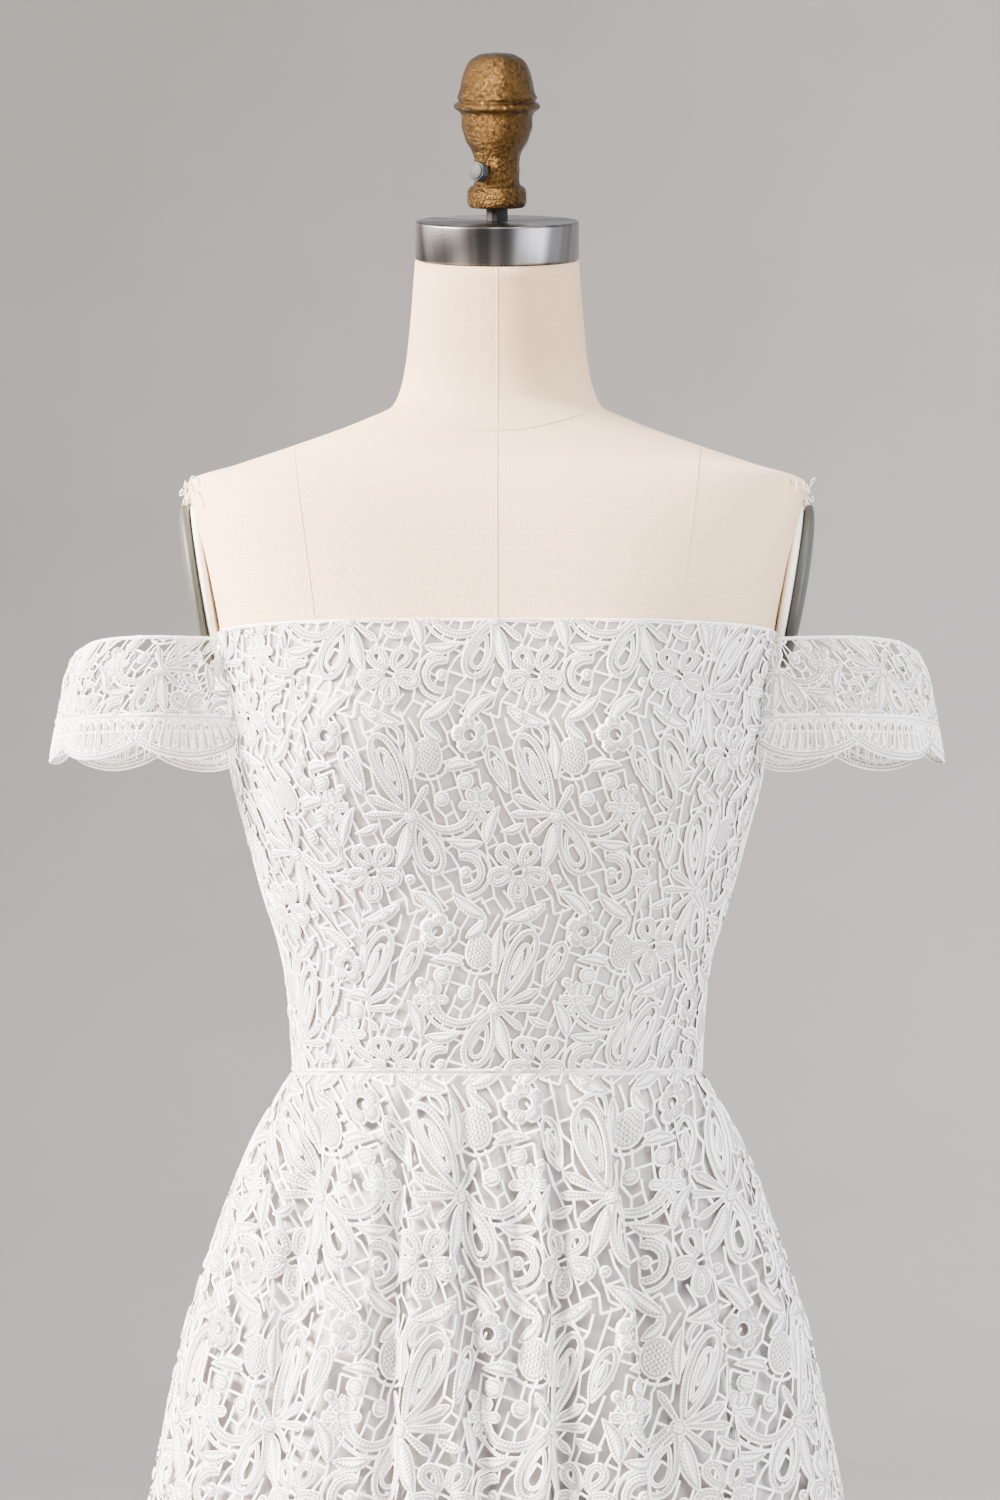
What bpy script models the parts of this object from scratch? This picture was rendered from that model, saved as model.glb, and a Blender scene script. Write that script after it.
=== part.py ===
"""An off-shoulder lace wedding dress on a limbless dress form.

The dress is cut in panels: a lace shell over a satin lining for bodice and skirt, and two open lace
sleeve bands with scalloped edgings. Each panel is an open sheet worked out from tables of sections
around the body, made a wall between two skins of one grid. The front faces -Y and the floor is z = 0.
Heights called rise are metres above the waist seam, and angles are measured round the body from the
front, positive towards +X.
"""

import math
from collections import namedtuple

import bmesh
import bpy
import numpy as np
from mathutils import Matrix, Vector

# Driving dimensions, in metres
WAIST_Z = 1.060
NECKLINE_RISE = 0.262
UNDERARM_RISE = 0.220
HEM_DROP = 1.042
LINING_WALL = 0.0012
LACE_WALL = 0.0016
SEAM_GAP = 0.0003

LINING_OUT = SEAM_GAP
LAYER_GAP = 0.0006
LACE_OUT = LINING_OUT + LINING_WALL + LAYER_GAP
DRESS_OUT = LACE_OUT + LACE_WALL

# Sections of the dress form: half width to each side, depth to the front and to the back, and the
# exponent of the rounded section, which is 2 for an ellipse
Section = namedtuple("Section", "rise half_width front back squareness")
BODY = (
    Section(-0.230, 0.146, 0.088, 0.104, 2.2),
    Section(-0.190, 0.160, 0.094, 0.116, 2.2),
    Section(-0.100, 0.147, 0.099, 0.105, 2.2),
    Section(-0.040, 0.127, 0.094, 0.090, 2.2),
    Section(0.000, 0.119, 0.092, 0.084, 2.2),
    Section(0.058, 0.123, 0.095, 0.085, 2.3),
    Section(0.111, 0.138, 0.104, 0.092, 2.3),
    Section(0.141, 0.146, 0.111, 0.096, 2.3),
    Section(0.170, 0.154, 0.116, 0.100, 2.3),
    Section(0.200, 0.159, 0.119, 0.103, 2.3),
    Section(0.235, 0.163, 0.116, 0.105, 2.5),
    Section(0.263, 0.1665, 0.111, 0.106, 2.9),
    Section(0.290, 0.172, 0.105, 0.105, 3.2),
    Section(0.320, 0.179, 0.097, 0.102, 3.2),
    Section(0.342, 0.184, 0.088, 0.095, 3.0),
    Section(0.353, 0.186, 0.081, 0.089, 2.7),
    Section(0.363, 0.159, 0.074, 0.082, 2.4),
    Section(0.376, 0.121, 0.067, 0.075, 2.3),
    Section(0.390, 0.084, 0.060, 0.068, 2.1),
    Section(0.401, 0.0625, 0.055, 0.063, 2.0),
    Section(0.421, 0.056, 0.051, 0.057, 2.0),
    Section(0.445, 0.053, 0.049, 0.053, 2.0),
    Section(0.490, 0.0495, 0.0485, 0.0495, 2.0),
)

# The fullness of the bust, which the cups of the cut follow
BUST_ANGLE = math.radians(36.0)
BUST_SPREAD = math.radians(20.0)
BUST_RISE = 0.190
BUST_REACH = 0.052
BUST_FULL = 0.013

# Sections of the skirt's lace, by their drop below the waist seam
SkirtSection = namedtuple("SkirtSection", "drop half_width front back")
SKIRT = (
    SkirtSection(0.000, 0.119 + DRESS_OUT, 0.092 + DRESS_OUT, 0.084 + DRESS_OUT),
    SkirtSection(0.012, 0.130, 0.101, 0.094),
    SkirtSection(0.035, 0.1425, 0.110, 0.108),
    SkirtSection(0.073, 0.158, 0.122, 0.124),
    SkirtSection(0.107, 0.169, 0.132, 0.136),
    SkirtSection(0.153, 0.183, 0.143, 0.150),
    SkirtSection(0.187, 0.190, 0.151, 0.159),
    SkirtSection(0.257, 0.203, 0.169, 0.178),
    SkirtSection(0.400, 0.229, 0.203, 0.211),
    SkirtSection(0.600, 0.262, 0.245, 0.252),
    SkirtSection(0.800, 0.294, 0.283, 0.289),
    SkirtSection(HEM_DROP, 0.332, 0.325, 0.329),
)
SKIRT_SQUARENESS = 2.2

# The soft unpressed folds of the skirt: where each leaves the waist seam and meets the hem, how
# wide it is to each side, and how far it stands out at the hem
Fold = namedtuple("Fold", "waist_deg hem_deg spread_deg height")
FOLDS = (
    Fold(-168, -170, 10, 0.017),
    Fold(-147, -146, 11, 0.020),
    Fold(-122, -120, 12, 0.016),
    Fold(-96, -93, 12, 0.019),
    Fold(-67, -61, 13, 0.018),
    Fold(-39, -30, 11, 0.020),
    Fold(-23, -7, 10, 0.016),
    Fold(27, 18, 11, 0.019),
    Fold(45, 39, 9, 0.017),
    Fold(70, 65, 12, 0.018),
    Fold(98, 94, 13, 0.019),
    Fold(123, 121, 11, 0.016),
    Fold(146, 147, 11, 0.020),
    Fold(167, 171, 10, 0.017),
)
FOLD_MEAN = 0.35
FOLD_GROWTH = 0.45
FOLD_DRIFT = 0.7
FOLD_START = 0.025
LINING_FOLD_SHARE = 0.5
LINING_SLACK = 0.011

# Seams of the bodice, as angles round the body at rising heights
Seam = namedtuple("Seam", "rise princess_front princess_back")
SEAMS = (
    Seam(0.000, 43, 146),
    Seam(0.100, 43, 143),
    Seam(0.187, 47, 141),
    Seam(NECKLINE_RISE, 54, 140),
)
SIDE_DEG = 90
BACK_DEG = 180
UNDERARM_SPREAD = math.radians(17)

# Panels of the bodice, right of the wearer's front seen from the front, and their columns
Panel = namedtuple("Panel", "name start end columns")
RIGHT_PANELS = (
    Panel("side_front", "princess_front", "side", 5),
    Panel("side_back", "side", "princess_back", 5),
    Panel("centre_back", "princess_back", "back", 3),
)
CENTRE_COLUMNS = 8
BODICE_ROWS = 7

# The lace repeats at this size, and its largest gap in each repeat is cut through
REPEAT_WIDE = 0.084
REPEAT_HIGH = 0.112
GAP_SIDES = 5
GAP_TURNS = [math.radians(18) + math.tau * k / GAP_SIDES for k in range(GAP_SIDES)]
SKIRT_GAP = (0.0065, 0.0085)
BODICE_GAP = (0.0050, 0.0070)
SLEEVE_GAP = (0.0050, 0.0065)
GAP_SHARE = 0.34

SKIRT_COLUMNS = 48
SKIRT_ROWS = (0, 0.016, 0.045, 0.112, 0.224, 0.336, 0.448, 0.560, 0.672, 0.784, 0.896, HEM_DROP)
LINING_ROWS = (0, 0.016, 0.045, 0.112, 0.224, 0.448, HEM_DROP)

# The sleeve bands: an arc round each upper arm, from the front armhole edge to the back one
SLEEVE_X = 0.200
SLEEVE_HALF_WIDE = 0.0565
SLEEVE_FLARE = 0.009
SLEEVE_HALF_DEEP = 0.061
SLEEVE_TOP = 0.257
TRIM_TOP = 0.2095
TRIM_NOTCH = 0.194
SCALLOP_DEEP = 0.0105
SCALLOPS = 5
SLEEVE_CLEAR = 0.0009

# The dress form's hardware
NECK_TOP = 0.490
NECK_TILT = math.radians(14)
CAP_RADIUS = 0.0496
CAP_HIGH = 0.0235
ARM_PLATE = (0.0090, 0.041, 0.050)
ARM_PLATE_AT = (0.1805, 0.002, 0.292)
ARM_PLATE_TILT = math.radians(9.5)
POLE_RADIUS = 0.016
BASE_RADIUS = 0.195
BASE_HIGH = 0.016
SOCKET_RADIUS = 0.034
SOCKET_HIGH = 0.050

BUTTONS = 9
BUTTON_RADIUS = 0.0055
BUTTON_FLAT = 0.6
BUTTON_FIRST = 0.016
BUTTON_LAST = 0.246


def hex_colour(text):
    """Linear RGBA from an sRGB hex value."""
    parts = [int(text[k : k + 2], 16) / 255 for k in (1, 3, 5)]
    return tuple(p / 12.92 if p <= 0.04045 else ((p + 0.055) / 1.055) ** 2.4 for p in parts) + (1.0,)


def material(name, colour, roughness, metallic=0.0):
    made = bpy.data.materials.get(name) or bpy.data.materials.new(name)
    made.use_nodes = True
    shader = made.node_tree.nodes["Principled BSDF"]
    shader.inputs["Base Color"].default_value = hex_colour(colour)
    shader.inputs["Roughness"].default_value = roughness
    shader.inputs["Metallic"].default_value = metallic
    return made


def curve_value(rows, column, at):
    """One column of a table of sections, read at the values in at by a monotone cubic."""
    xs = np.array([row[0] for row in rows])
    ys = np.array([getattr(row, column) for row in rows])
    steps = np.diff(ys) / np.diff(xs)
    before, after = steps[:-1], steps[1:]
    total = np.where(before * after > 0, before + after, 1.0)
    slopes = np.concatenate(
        [steps[:1], np.where(before * after > 0, 2 * before * after / total, 0.0), steps[-1:]]
    )
    at = np.clip(at, xs[0], xs[-1])
    k = np.clip(np.searchsorted(xs, at, side="right") - 1, 0, len(xs) - 2)
    span = xs[k + 1] - xs[k]
    t = (at - xs[k]) / span
    low = ys[k] * (1 + 2 * t) * (1 - t) ** 2 + slopes[k] * span * t * (1 - t) ** 2
    return low + ys[k + 1] * t * t * (3 - 2 * t) + slopes[k + 1] * span * t * t * (t - 1)


def ring_radius(angle, half_width, front, back, squareness):
    """Distance from the axis of a rounded section at an angle round the body."""
    depth = np.where(np.cos(angle) >= 0, front, back)
    across = np.abs(np.sin(angle) / half_width) ** squareness
    return (across + np.abs(np.cos(angle) / depth) ** squareness) ** (-1 / squareness)


def placed(angle, radius, rise):
    return np.stack([radius * np.sin(angle), -radius * np.cos(angle), WAIST_Z + rise + 0 * angle], -1)


def body_point(angle, rise):
    """A point of the dress form's surface."""
    names = ("half_width", "front", "back", "squareness")
    radius = ring_radius(angle, *(curve_value(BODY, name, rise) for name in names))
    around = np.exp(-(((np.abs(angle) - BUST_ANGLE) / BUST_SPREAD) ** 2))
    radius = radius + BUST_FULL * around * np.exp(-(((rise - BUST_RISE) / BUST_REACH) ** 2))
    return placed(angle, radius, rise)


def fold_run(drop):
    """How far the folds have opened: not at the waist seam, quickly below it, fully at the hem."""
    share = np.clip(drop, 0, HEM_DROP) / HEM_DROP
    return share**FOLD_GROWTH * np.clip(drop / FOLD_START, 0, 1)


def fold_relief(angle, drop):
    """How far the folds stand out from the skirt's plain section, about their mean."""
    drift = (np.clip(drop, 0, HEM_DROP) / HEM_DROP) ** FOLD_DRIFT
    relief = 0 * angle
    tallest = max(fold.height for fold in FOLDS)
    for fold in FOLDS:
        middle = np.radians(fold.waist_deg + (fold.hem_deg - fold.waist_deg) * drift)
        away = np.abs((angle - middle + math.pi) % (2 * math.pi) - math.pi)
        inside = np.clip(away / math.radians(fold.spread_deg), 0, 1)
        relief = relief + fold.height * np.cos(inside * math.pi / 2) ** 2
    return (relief - FOLD_MEAN * tallest) * fold_run(drop)


def skirt_point(angle, rise, fold_share=1.0, slack=0.0):
    """A point of the outer face of the skirt's lace, or of a slimmer copy of it."""
    drop = -rise
    sizes = [curve_value(SKIRT, name, drop) for name in ("half_width", "front", "back")]
    radius = ring_radius(angle, *sizes, SKIRT_SQUARENESS)
    relief = fold_share * fold_relief(angle, drop) - slack * fold_run(drop)
    return placed(angle, radius + relief, rise)


def lining_point(angle, rise):
    return skirt_point(angle, rise, LINING_FOLD_SHARE, LINING_SLACK)


def sleeve_point(turn, rise):
    """A point of the right sleeve band's middle face. The turn is 0 at the front, 90 outermost."""
    flare = SLEEVE_FLARE * (SLEEVE_TOP - rise) / (SLEEVE_TOP - TRIM_NOTCH)
    across = SLEEVE_X + (SLEEVE_HALF_WIDE + flare) * np.sin(turn)
    along = -(SLEEVE_HALF_DEEP + 0.4 * flare) * np.cos(turn)
    return np.stack([across, along, WAIST_Z + rise + 0 * turn], -1)


def outward(surface, first, second, out):
    """Points of a surface moved out along its normal."""
    step = 1e-4
    across = surface(first + step, second) - surface(first - step, second)
    up = surface(first, second + step) - surface(first, second - step)
    normal = np.cross(across, up)
    normal /= np.linalg.norm(normal, axis=-1, keepdims=True)
    return surface(first, second) + out * normal


def seam_angle(name, rise):
    if name == "side":
        return math.radians(SIDE_DEG) + 0 * rise
    if name == "back":
        return math.radians(BACK_DEG) + 0 * rise
    return np.radians(curve_value(SEAMS, name, rise))


def bodice_top(angle):
    """The bodice's upper edge: level at front and back, dipping under the arm."""
    near = np.clip(1 - np.abs(np.abs(angle) - math.pi / 2) / UNDERARM_SPREAD, 0, 1)
    return NECKLINE_RISE - (NECKLINE_RISE - UNDERARM_RISE) * np.sin(near * math.pi / 2) ** 2


def panel_grid(start, end, columns, inset):
    """Angles and rises of a bodice panel's grid points, a row for each height."""
    level = np.linspace(0, 1, BODICE_ROWS + 1)[:, None] + np.zeros(columns + 1)
    share = np.linspace(0, 1, columns + 1)[None, :] + np.zeros((BODICE_ROWS + 1, 1))
    low = start(level * NECKLINE_RISE) + inset
    high = end(level * NECKLINE_RISE) - inset
    angle = low + (high - low) * share
    return angle, SEAM_GAP / 2 + level * (bodice_top(angle) - SEAM_GAP / 2)


def ring_of_gap(corners, half_wide, half_high):
    """Points of a gap like a drop in the middle of one cell, on the cell's own two facets."""
    low_left, low_right, high_right, high_left = corners
    across = np.linalg.norm(low_right + high_right - low_left - high_left) / 2
    up = np.linalg.norm(high_left + high_right - low_left - low_right) / 2
    wide, high = min(half_wide / across, GAP_SHARE), min(half_high / up, GAP_SHARE)
    loop = []
    for turn in GAP_TURNS:
        s, t = 0.5 + wide * math.cos(turn), 0.5 + high * math.sin(turn)
        if s > t:
            loop.append(low_left + (low_right - low_left) * s + (high_right - low_right) * t)
        else:
            loop.append(low_left + (high_left - low_left) * t + (high_right - high_left) * s)
    return loop


def fill_between(corners, loop):
    """Triangles between a cell's four corners and the loop of a gap inside it, both anticlockwise."""
    outer = [(math.tau * (k + 0.5) / 4, corner) for k, corner in enumerate(corners[2:] + corners[:2])]
    inner = list(zip(GAP_TURNS, loop))
    triangles = []
    i = j = 0
    while i < len(outer) or j < len(inner):
        next_outer = outer[(i + 1) % len(outer)][0] + math.tau * ((i + 1) // len(outer))
        next_inner = inner[(j + 1) % len(inner)][0] + math.tau * ((j + 1) // len(inner))
        at_outer, at_inner = outer[i % len(outer)][1], inner[j % len(inner)][1]
        if j >= len(inner) or (i < len(outer) and next_outer <= next_inner):
            i += 1
            triangles.append((at_outer, outer[i % len(outer)][1], at_inner))
        else:
            j += 1
            triangles.append((at_outer, inner[j % len(inner)][1], at_inner))
    return triangles


def sheet(name, surface, angle, rise, out, wall, look, gaps=None, gap_size=None, mirror=False):
    """A closed panel of cloth between two skins of one grid, moved out from a surface, with gaps."""
    rows, columns = angle.shape
    skins = [list(outward(surface, angle, rise, lift).reshape(-1, 3)) for lift in (out, out + wall)]
    triangles = []
    for i in range(rows - 1):
        for j in range(columns - 1):
            low = i * columns + j
            cell = (low, low + 1, low + columns + 1, low + columns)
            if gaps is None or not gaps[i, j]:
                triangles += [(cell[0], cell[1], cell[2]), (cell[0], cell[2], cell[3])]
                continue
            first = len(skins[0])
            for skin in skins:
                skin.extend(ring_of_gap([skin[corner] for corner in cell], *gap_size))
            triangles += fill_between(cell, range(first, first + GAP_SIDES))
    return walled(name, skins, triangles, look, mirror)


def walled(name, skins, triangles, look, mirror):
    """Joins an inner and an outer skin of the same triangles round every free edge."""
    mesh = bmesh.new()
    side = -1 if mirror else 1
    inner, outer = ([mesh.verts.new((side * x, y, z)) for x, y, z in skin] for skin in skins)
    edges = {(t[k], t[(k + 1) % 3]) for t in triangles for k in range(3)}
    faces = [[outer[k] for k in t] for t in triangles] + [[inner[k] for k in reversed(t)] for t in triangles]
    for a, b in edges:
        if (b, a) not in edges:
            faces += [[outer[b], outer[a], inner[a]], [outer[b], inner[a], inner[b]]]
    for face in faces:
        mesh.faces.new(face[::side])
    return object_of(name, mesh, look)


def object_of(name, mesh, look, smooth=True):
    data = bpy.data.meshes.new(name)
    mesh.to_mesh(data)
    mesh.free()
    for face in data.polygons:
        face.use_smooth = smooth
    made = bpy.data.objects.new(name, data)
    data.materials.append(look)
    PARTS.objects.link(made)
    return made


def adopt(made, name, look, smooth_angle=35):
    """Names a fresh primitive or turned piece, gives it its material and puts it with the parts."""
    made.name = name
    made.data.name = name
    made.data.materials.clear()
    made.data.materials.append(look)
    for group in list(made.users_collection):
        group.objects.unlink(made)
    PARTS.objects.link(made)
    made.data.shade_smooth()
    made.data.set_sharp_from_angle(angle=math.radians(smooth_angle))
    return made


def apply_scale(made):
    made.data.transform(Matrix.Diagonal((*made.scale, 1.0)))
    made.scale = (1, 1, 1)


def bevelled(made, width, segments=2):
    edge = made.modifiers.new("rounded edges", "BEVEL")
    edge.width = width
    edge.segments = segments
    edge.limit_method = "ANGLE"


def turned(name, profile, look, steps=16):
    """A piece turned on a lathe, from (radius, height) down its outer side."""
    mesh = bmesh.new()
    verts = [mesh.verts.new((radius, 0, height)) for radius, height in profile]
    for one, other in zip(verts, verts[1:]):
        mesh.edges.new((one, other))
    made = object_of(name, mesh, look)
    screw = made.modifiers.new("turned", "SCREW")
    screw.steps = steps
    screw.render_steps = steps
    screw.use_merge_vertices = True
    screw.merge_threshold = 1e-5
    return made


def gap_cells(surface, angle, rise, centre):
    """Which cells of a skirt panel hold the largest gap of a lace repeat.

    The lace is laid flat from the panel's centre, and every other row of repeats is half a repeat along.
    """
    steps = np.linalg.norm(np.diff(surface(angle, rise), axis=1), axis=-1)
    flat = np.concatenate([np.zeros((len(steps), 1)), np.cumsum(steps, axis=1)], axis=1)
    flat = (flat - flat[:, -1:] * centre) / REPEAT_WIDE
    chosen = np.zeros((len(rise) - 1, rise.shape[1] - 1), bool)
    for row in range(len(chosen)):
        highest, lowest = -rise[row + 1, 0] / REPEAT_HIGH, -rise[row, 0] / REPEAT_HIGH
        repeat = math.ceil(highest - 0.5)
        if repeat + 0.5 < lowest:
            along = np.floor((flat[row] + flat[row + 1]) / 2 + 0.5 * (repeat % 2))
            chosen[row] = along[1:] != along[:-1]
    return chosen


for old in list(bpy.data.objects):
    bpy.data.objects.remove(old, do_unlink=True)
PARTS = bpy.data.collections.new("wedding_dress_on_form")
bpy.context.scene.collection.children.link(PARTS)

LACE = material("white chemical lace", "#F6F2F0", 0.7)
LINING = material("pale satin lining", "#DCD8DA", 0.45)
CANVAS = material("cream canvas", "#F1E4D6", 0.85)
PLATE = material("grey green arm plate", "#6F716B", 0.6)
STEEL = material("brushed steel", "#B4B1B0", 0.3, 1.0)
BLACK_STEEL = material("blackened steel", "#1C1F1E", 0.5, 0.6)
GOLD = material("gold cast finial", "#B8915A", 0.4, 1.0)
ZINC = material("zinc bolt", "#B9C2C4", 0.35, 1.0)
SATIN_BUTTON = material("satin covered button", "#EEEAE8", 0.4)


def mirrored(seam):
    return lambda rise: -seam(rise)


def seam(name):
    return lambda rise: seam_angle(name, rise)


def bodice_panels():
    """Name, start seam, end seam and columns of every bodice panel, in order round the body."""
    front = seam("princess_front")
    right = [(p.name, seam(p.start), seam(p.end), p.columns) for p in RIGHT_PANELS]
    left = [(name, mirrored(end), mirrored(start), count) for name, start, end, count in reversed(right)]
    centre = [("centre_front", mirrored(front), front, CENTRE_COLUMNS)]
    return (
        [(name + "_left", *rest) for name, *rest in left]
        + centre
        + [(name + "_right", *rest) for name, *rest in right]
    )


# Bodice: lining and lace panels on one grid, so that the walls lie evenly on each other
for name, start, end, columns in bodice_panels():
    angle, rise = panel_grid(start, end, columns, SEAM_GAP / 2 / SKIRT[0].half_width)
    sheet("lining_" + name, body_point, angle, rise, LINING_OUT, LINING_WALL, LINING)
    gaps = np.zeros((BODICE_ROWS, columns), bool)
    for row in range(BODICE_ROWS):
        for column in range(columns):
            gaps[row, column] = (row + 2 * column) % 4 == 1
    sheet("bodice_" + name, body_point, angle, rise, LACE_OUT, LACE_WALL, LACE, gaps, BODICE_GAP)

# Skirt: a lace shell with its folds, and a slimmer lining inside it
SKIRT_PANELS = (
    ("front", -SIDE_DEG, SIDE_DEG, SKIRT_COLUMNS // 2, 0.5),
    ("back_left", -BACK_DEG, -SIDE_DEG, SKIRT_COLUMNS // 4, 1.0),
    ("back_right", SIDE_DEG, BACK_DEG, SKIRT_COLUMNS // 4, 0.0),
)


def skirt_grid(low, high, columns, drops, surface):
    """Angles and rises of a skirt panel, with half a seam gap left at both sides at every height."""
    rise = -np.array(drops)[::-1, None] + np.zeros(columns + 1)
    rise[-1] -= SEAM_GAP / 2
    share = np.linspace(0, 1, columns + 1)[None, :]
    edge = surface(np.full(len(drops), math.radians(SIDE_DEG)), rise[:, 0])
    inset = (SEAM_GAP / 2 / edge[:, 0])[:, None]
    start, end = math.radians(low) + inset, math.radians(high) - inset
    return start + (end - start) * share, rise


for name, low, high, columns, centre in SKIRT_PANELS:
    angle, rise = skirt_grid(low, high, columns, LINING_ROWS, lining_point)
    inner = -LACE_WALL - SEAM_GAP - LINING_WALL
    sheet("lining_skirt_" + name, lining_point, angle, rise, inner, LINING_WALL, LINING)
    angle, rise = skirt_grid(low, high, columns, SKIRT_ROWS, skirt_point)
    gaps = gap_cells(skirt_point, angle, rise, centre)
    sheet("skirt_" + name, skirt_point, angle, rise, -LACE_WALL, LACE_WALL, LACE, gaps, SKIRT_GAP)


# Sleeves: each band is an arc from the front armhole edge to the back one, cut at its outer end
def armhole_turn(rise, back):
    """The turn at which the sleeve band's middle face just clears the bodice's outer face."""
    low, high = math.radians(-80.0), math.radians(20.0)
    for _ in range(40):
        middle = (low + high) / 2
        turn = math.pi - middle if back else middle
        point = sleeve_point(np.array(turn), np.array(rise))
        angle = math.atan2(point[0], -point[1])
        outer = outward(body_point, np.array(angle), np.array(min(rise, NECKLINE_RISE)), DRESS_OUT)
        if math.hypot(point[0], point[1]) - math.hypot(outer[0], outer[1]) > SLEEVE_CLEAR:
            high = middle
        else:
            low = middle
    return math.pi - high if back else high


def sleeve_grid(rises, columns, half):
    """Turns and rises of half a sleeve band, with half a seam gap at its outer end."""
    middle = math.pi / 2
    inset = SEAM_GAP / 2 / SLEEVE_HALF_DEEP
    turn = []
    for rise in rises:
        start = armhole_turn(rise, False) if half == "front" else middle + inset
        end = middle - inset if half == "front" else armhole_turn(rise, True)
        turn.append(np.linspace(start, end, columns + 1))
    return np.array(turn), np.array(rises)[:, None] + np.zeros(columns + 1)


def scalloped(turn, rise):
    """Drops the lowest row of an edging into scallops, spread evenly over the whole band."""
    low, high = armhole_turn(TRIM_NOTCH, False), armhole_turn(TRIM_NOTCH, True)
    wave = np.abs(np.sin(math.pi * SCALLOPS * (turn[0] - low) / (high - low)))
    rise[0] = TRIM_NOTCH - SCALLOP_DEEP * wave**0.7


BAND_ROWS = (TRIM_TOP + SEAM_GAP, (TRIM_TOP + SLEEVE_TOP) / 2, SLEEVE_TOP)
BAND_COLUMNS = 8
EDGING_COLUMNS = 20
for half in ("front", "back"):
    turn, rise = sleeve_grid(BAND_ROWS, BAND_COLUMNS, half)
    gaps = np.zeros((len(BAND_ROWS) - 1, BAND_COLUMNS), bool)
    gaps[0, 1::2] = True
    gaps[1, 2:-1:2] = True
    edging_turn, edging_rise = sleeve_grid((TRIM_NOTCH, TRIM_TOP), EDGING_COLUMNS, half)
    scalloped(edging_turn, edging_rise)
    for where in ("right", "left"):
        wall = (-LACE_WALL / 2, LACE_WALL, LACE)
        left = where == "left"
        sheet(f"sleeve_{where}_{half}", sleeve_point, turn, rise, *wall, gaps, SLEEVE_GAP, left)
        sheet(f"edging_{where}_{half}", sleeve_point, edging_turn, edging_rise, *wall, mirror=left)

# Dress form: one closed torso whose rings follow the bodice's grid where the cloth lies on it
RING_RISES_ABOVE = (0.290, 0.315, 0.335, 0.347, 0.354, 0.360, 0.368, 0.378, 0.390, 0.401, 0.421, 0.445)
RING_RISES_BELOW = (-0.230, -0.205, -0.150, -0.090, -0.035)
BLEND_RINGS = 3


def tilted(points, share):
    """Tips a ring of points forward about the x axis, as the neck's top is cut."""
    tipped = points.copy()
    tipped[:, 2] += share * math.tan(NECK_TILT) * points[:, 1]
    return tipped


def torso_rings():
    grids = [panel_grid(start, end, columns, 0.0) for _, start, end, columns in bodice_panels()]
    angle = np.concatenate([grid[0][:, :-1] for grid in grids], axis=1)
    rise = np.concatenate([grid[1][:, :-1] for grid in grids], axis=1)
    rings = [body_point(angle[0], level + 0 * angle[0]) for level in RING_RISES_BELOW]
    rings += [body_point(a, r) for a, r in zip(angle, rise)]
    for k, level in enumerate(RING_RISES_ABOVE):
        share = min(1.0, (k + 1) / BLEND_RINGS)
        here = level + (1 - share) * (rise[-1] - NECKLINE_RISE)
        rings.append(tilted(body_point(angle[-1], here), max(0.0, (level - 0.40) / (NECK_TOP - 0.40))))
    rings.append(tilted(body_point(angle[-1], NECK_TOP + 0 * angle[-1]), 1.0))
    return rings


def torso():
    mesh = bmesh.new()
    rings = [[mesh.verts.new(point) for point in ring] for ring in torso_rings()]
    for below, above in zip(rings, rings[1:]):
        for j in range(len(below)):
            k = (j + 1) % len(below)
            mesh.faces.new((below[j], below[k], above[k]))
            mesh.faces.new((below[j], above[k], above[j]))
    mesh.faces.new(list(reversed(rings[0])))
    mesh.faces.new(rings[-1])
    object_of("form_torso", mesh, CANVAS)


torso()

# Arm plates: an oval plate on each side, clear of the torso and above the underarm
for side, where in ((1, "right"), (-1, "left")):
    bpy.ops.mesh.primitive_cylinder_add(vertices=20, radius=1, depth=1)
    plate = adopt(bpy.context.object, "form_arm_plate_" + where, PLATE)
    plate.data.transform(Matrix.Rotation(math.pi / 2, 4, "Y"))
    plate.scale = ARM_PLATE
    apply_scale(plate)
    plate.location = (side * ARM_PLATE_AT[0], ARM_PLATE_AT[1], WAIST_Z + ARM_PLATE_AT[2])
    plate.rotation_euler = (0, side * ARM_PLATE_TILT, 0)
    bevelled(plate, 0.0025, 1)

# Neck cap, post, finial and bolt, all on the tilted axis of the neck
NECK = bpy.data.objects.new("neck_axis", None)
PARTS.objects.link(NECK)
NECK.location = (0, 0, WAIST_Z + NECK_TOP)
NECK.rotation_euler = (NECK_TILT, 0, 0)


def on_neck(made, along):
    made.parent = NECK
    made.location = (0, 0, along)


bpy.ops.mesh.primitive_cylinder_add(vertices=24, radius=CAP_RADIUS, depth=CAP_HIGH)
cap = adopt(bpy.context.object, "form_neck_cap", STEEL)
bevelled(cap, 0.0015, 1)
on_neck(cap, SEAM_GAP + CAP_HIGH / 2)
CAP_TOP = SEAM_GAP + CAP_HIGH

POST_HIGH = 0.0072
bpy.ops.mesh.primitive_cylinder_add(vertices=12, radius=0.0065, depth=POST_HIGH)
on_neck(adopt(bpy.context.object, "form_post", BLACK_STEEL), CAP_TOP + SEAM_GAP + POST_HIGH / 2)
FINIAL_FOOT = CAP_TOP + POST_HIGH + 2 * SEAM_GAP

STEM_RADIUS = 0.0135
FINIAL_PROFILE = (
    (0.0, 0.0925),
    (0.0085, 0.0905),
    (0.0160, 0.0850),
    (0.0205, 0.0765),
    (0.0220, 0.0655),
    (0.0250, 0.0640),
    (0.0260, 0.0605),
    (0.0250, 0.0570),
    (0.0222, 0.0558),
    (0.0190, 0.0440),
    (0.0150, 0.0345),
    (STEM_RADIUS, 0.0310),
    (STEM_RADIUS, 0.0140),
    (0.0165, 0.0125),
    (0.0180, 0.0095),
    (0.0180, 0.0035),
    (0.0165, 0.0),
    (0.0, 0.0),
)
on_neck(turned("form_finial", FINIAL_PROFILE, GOLD), FINIAL_FOOT)

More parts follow.
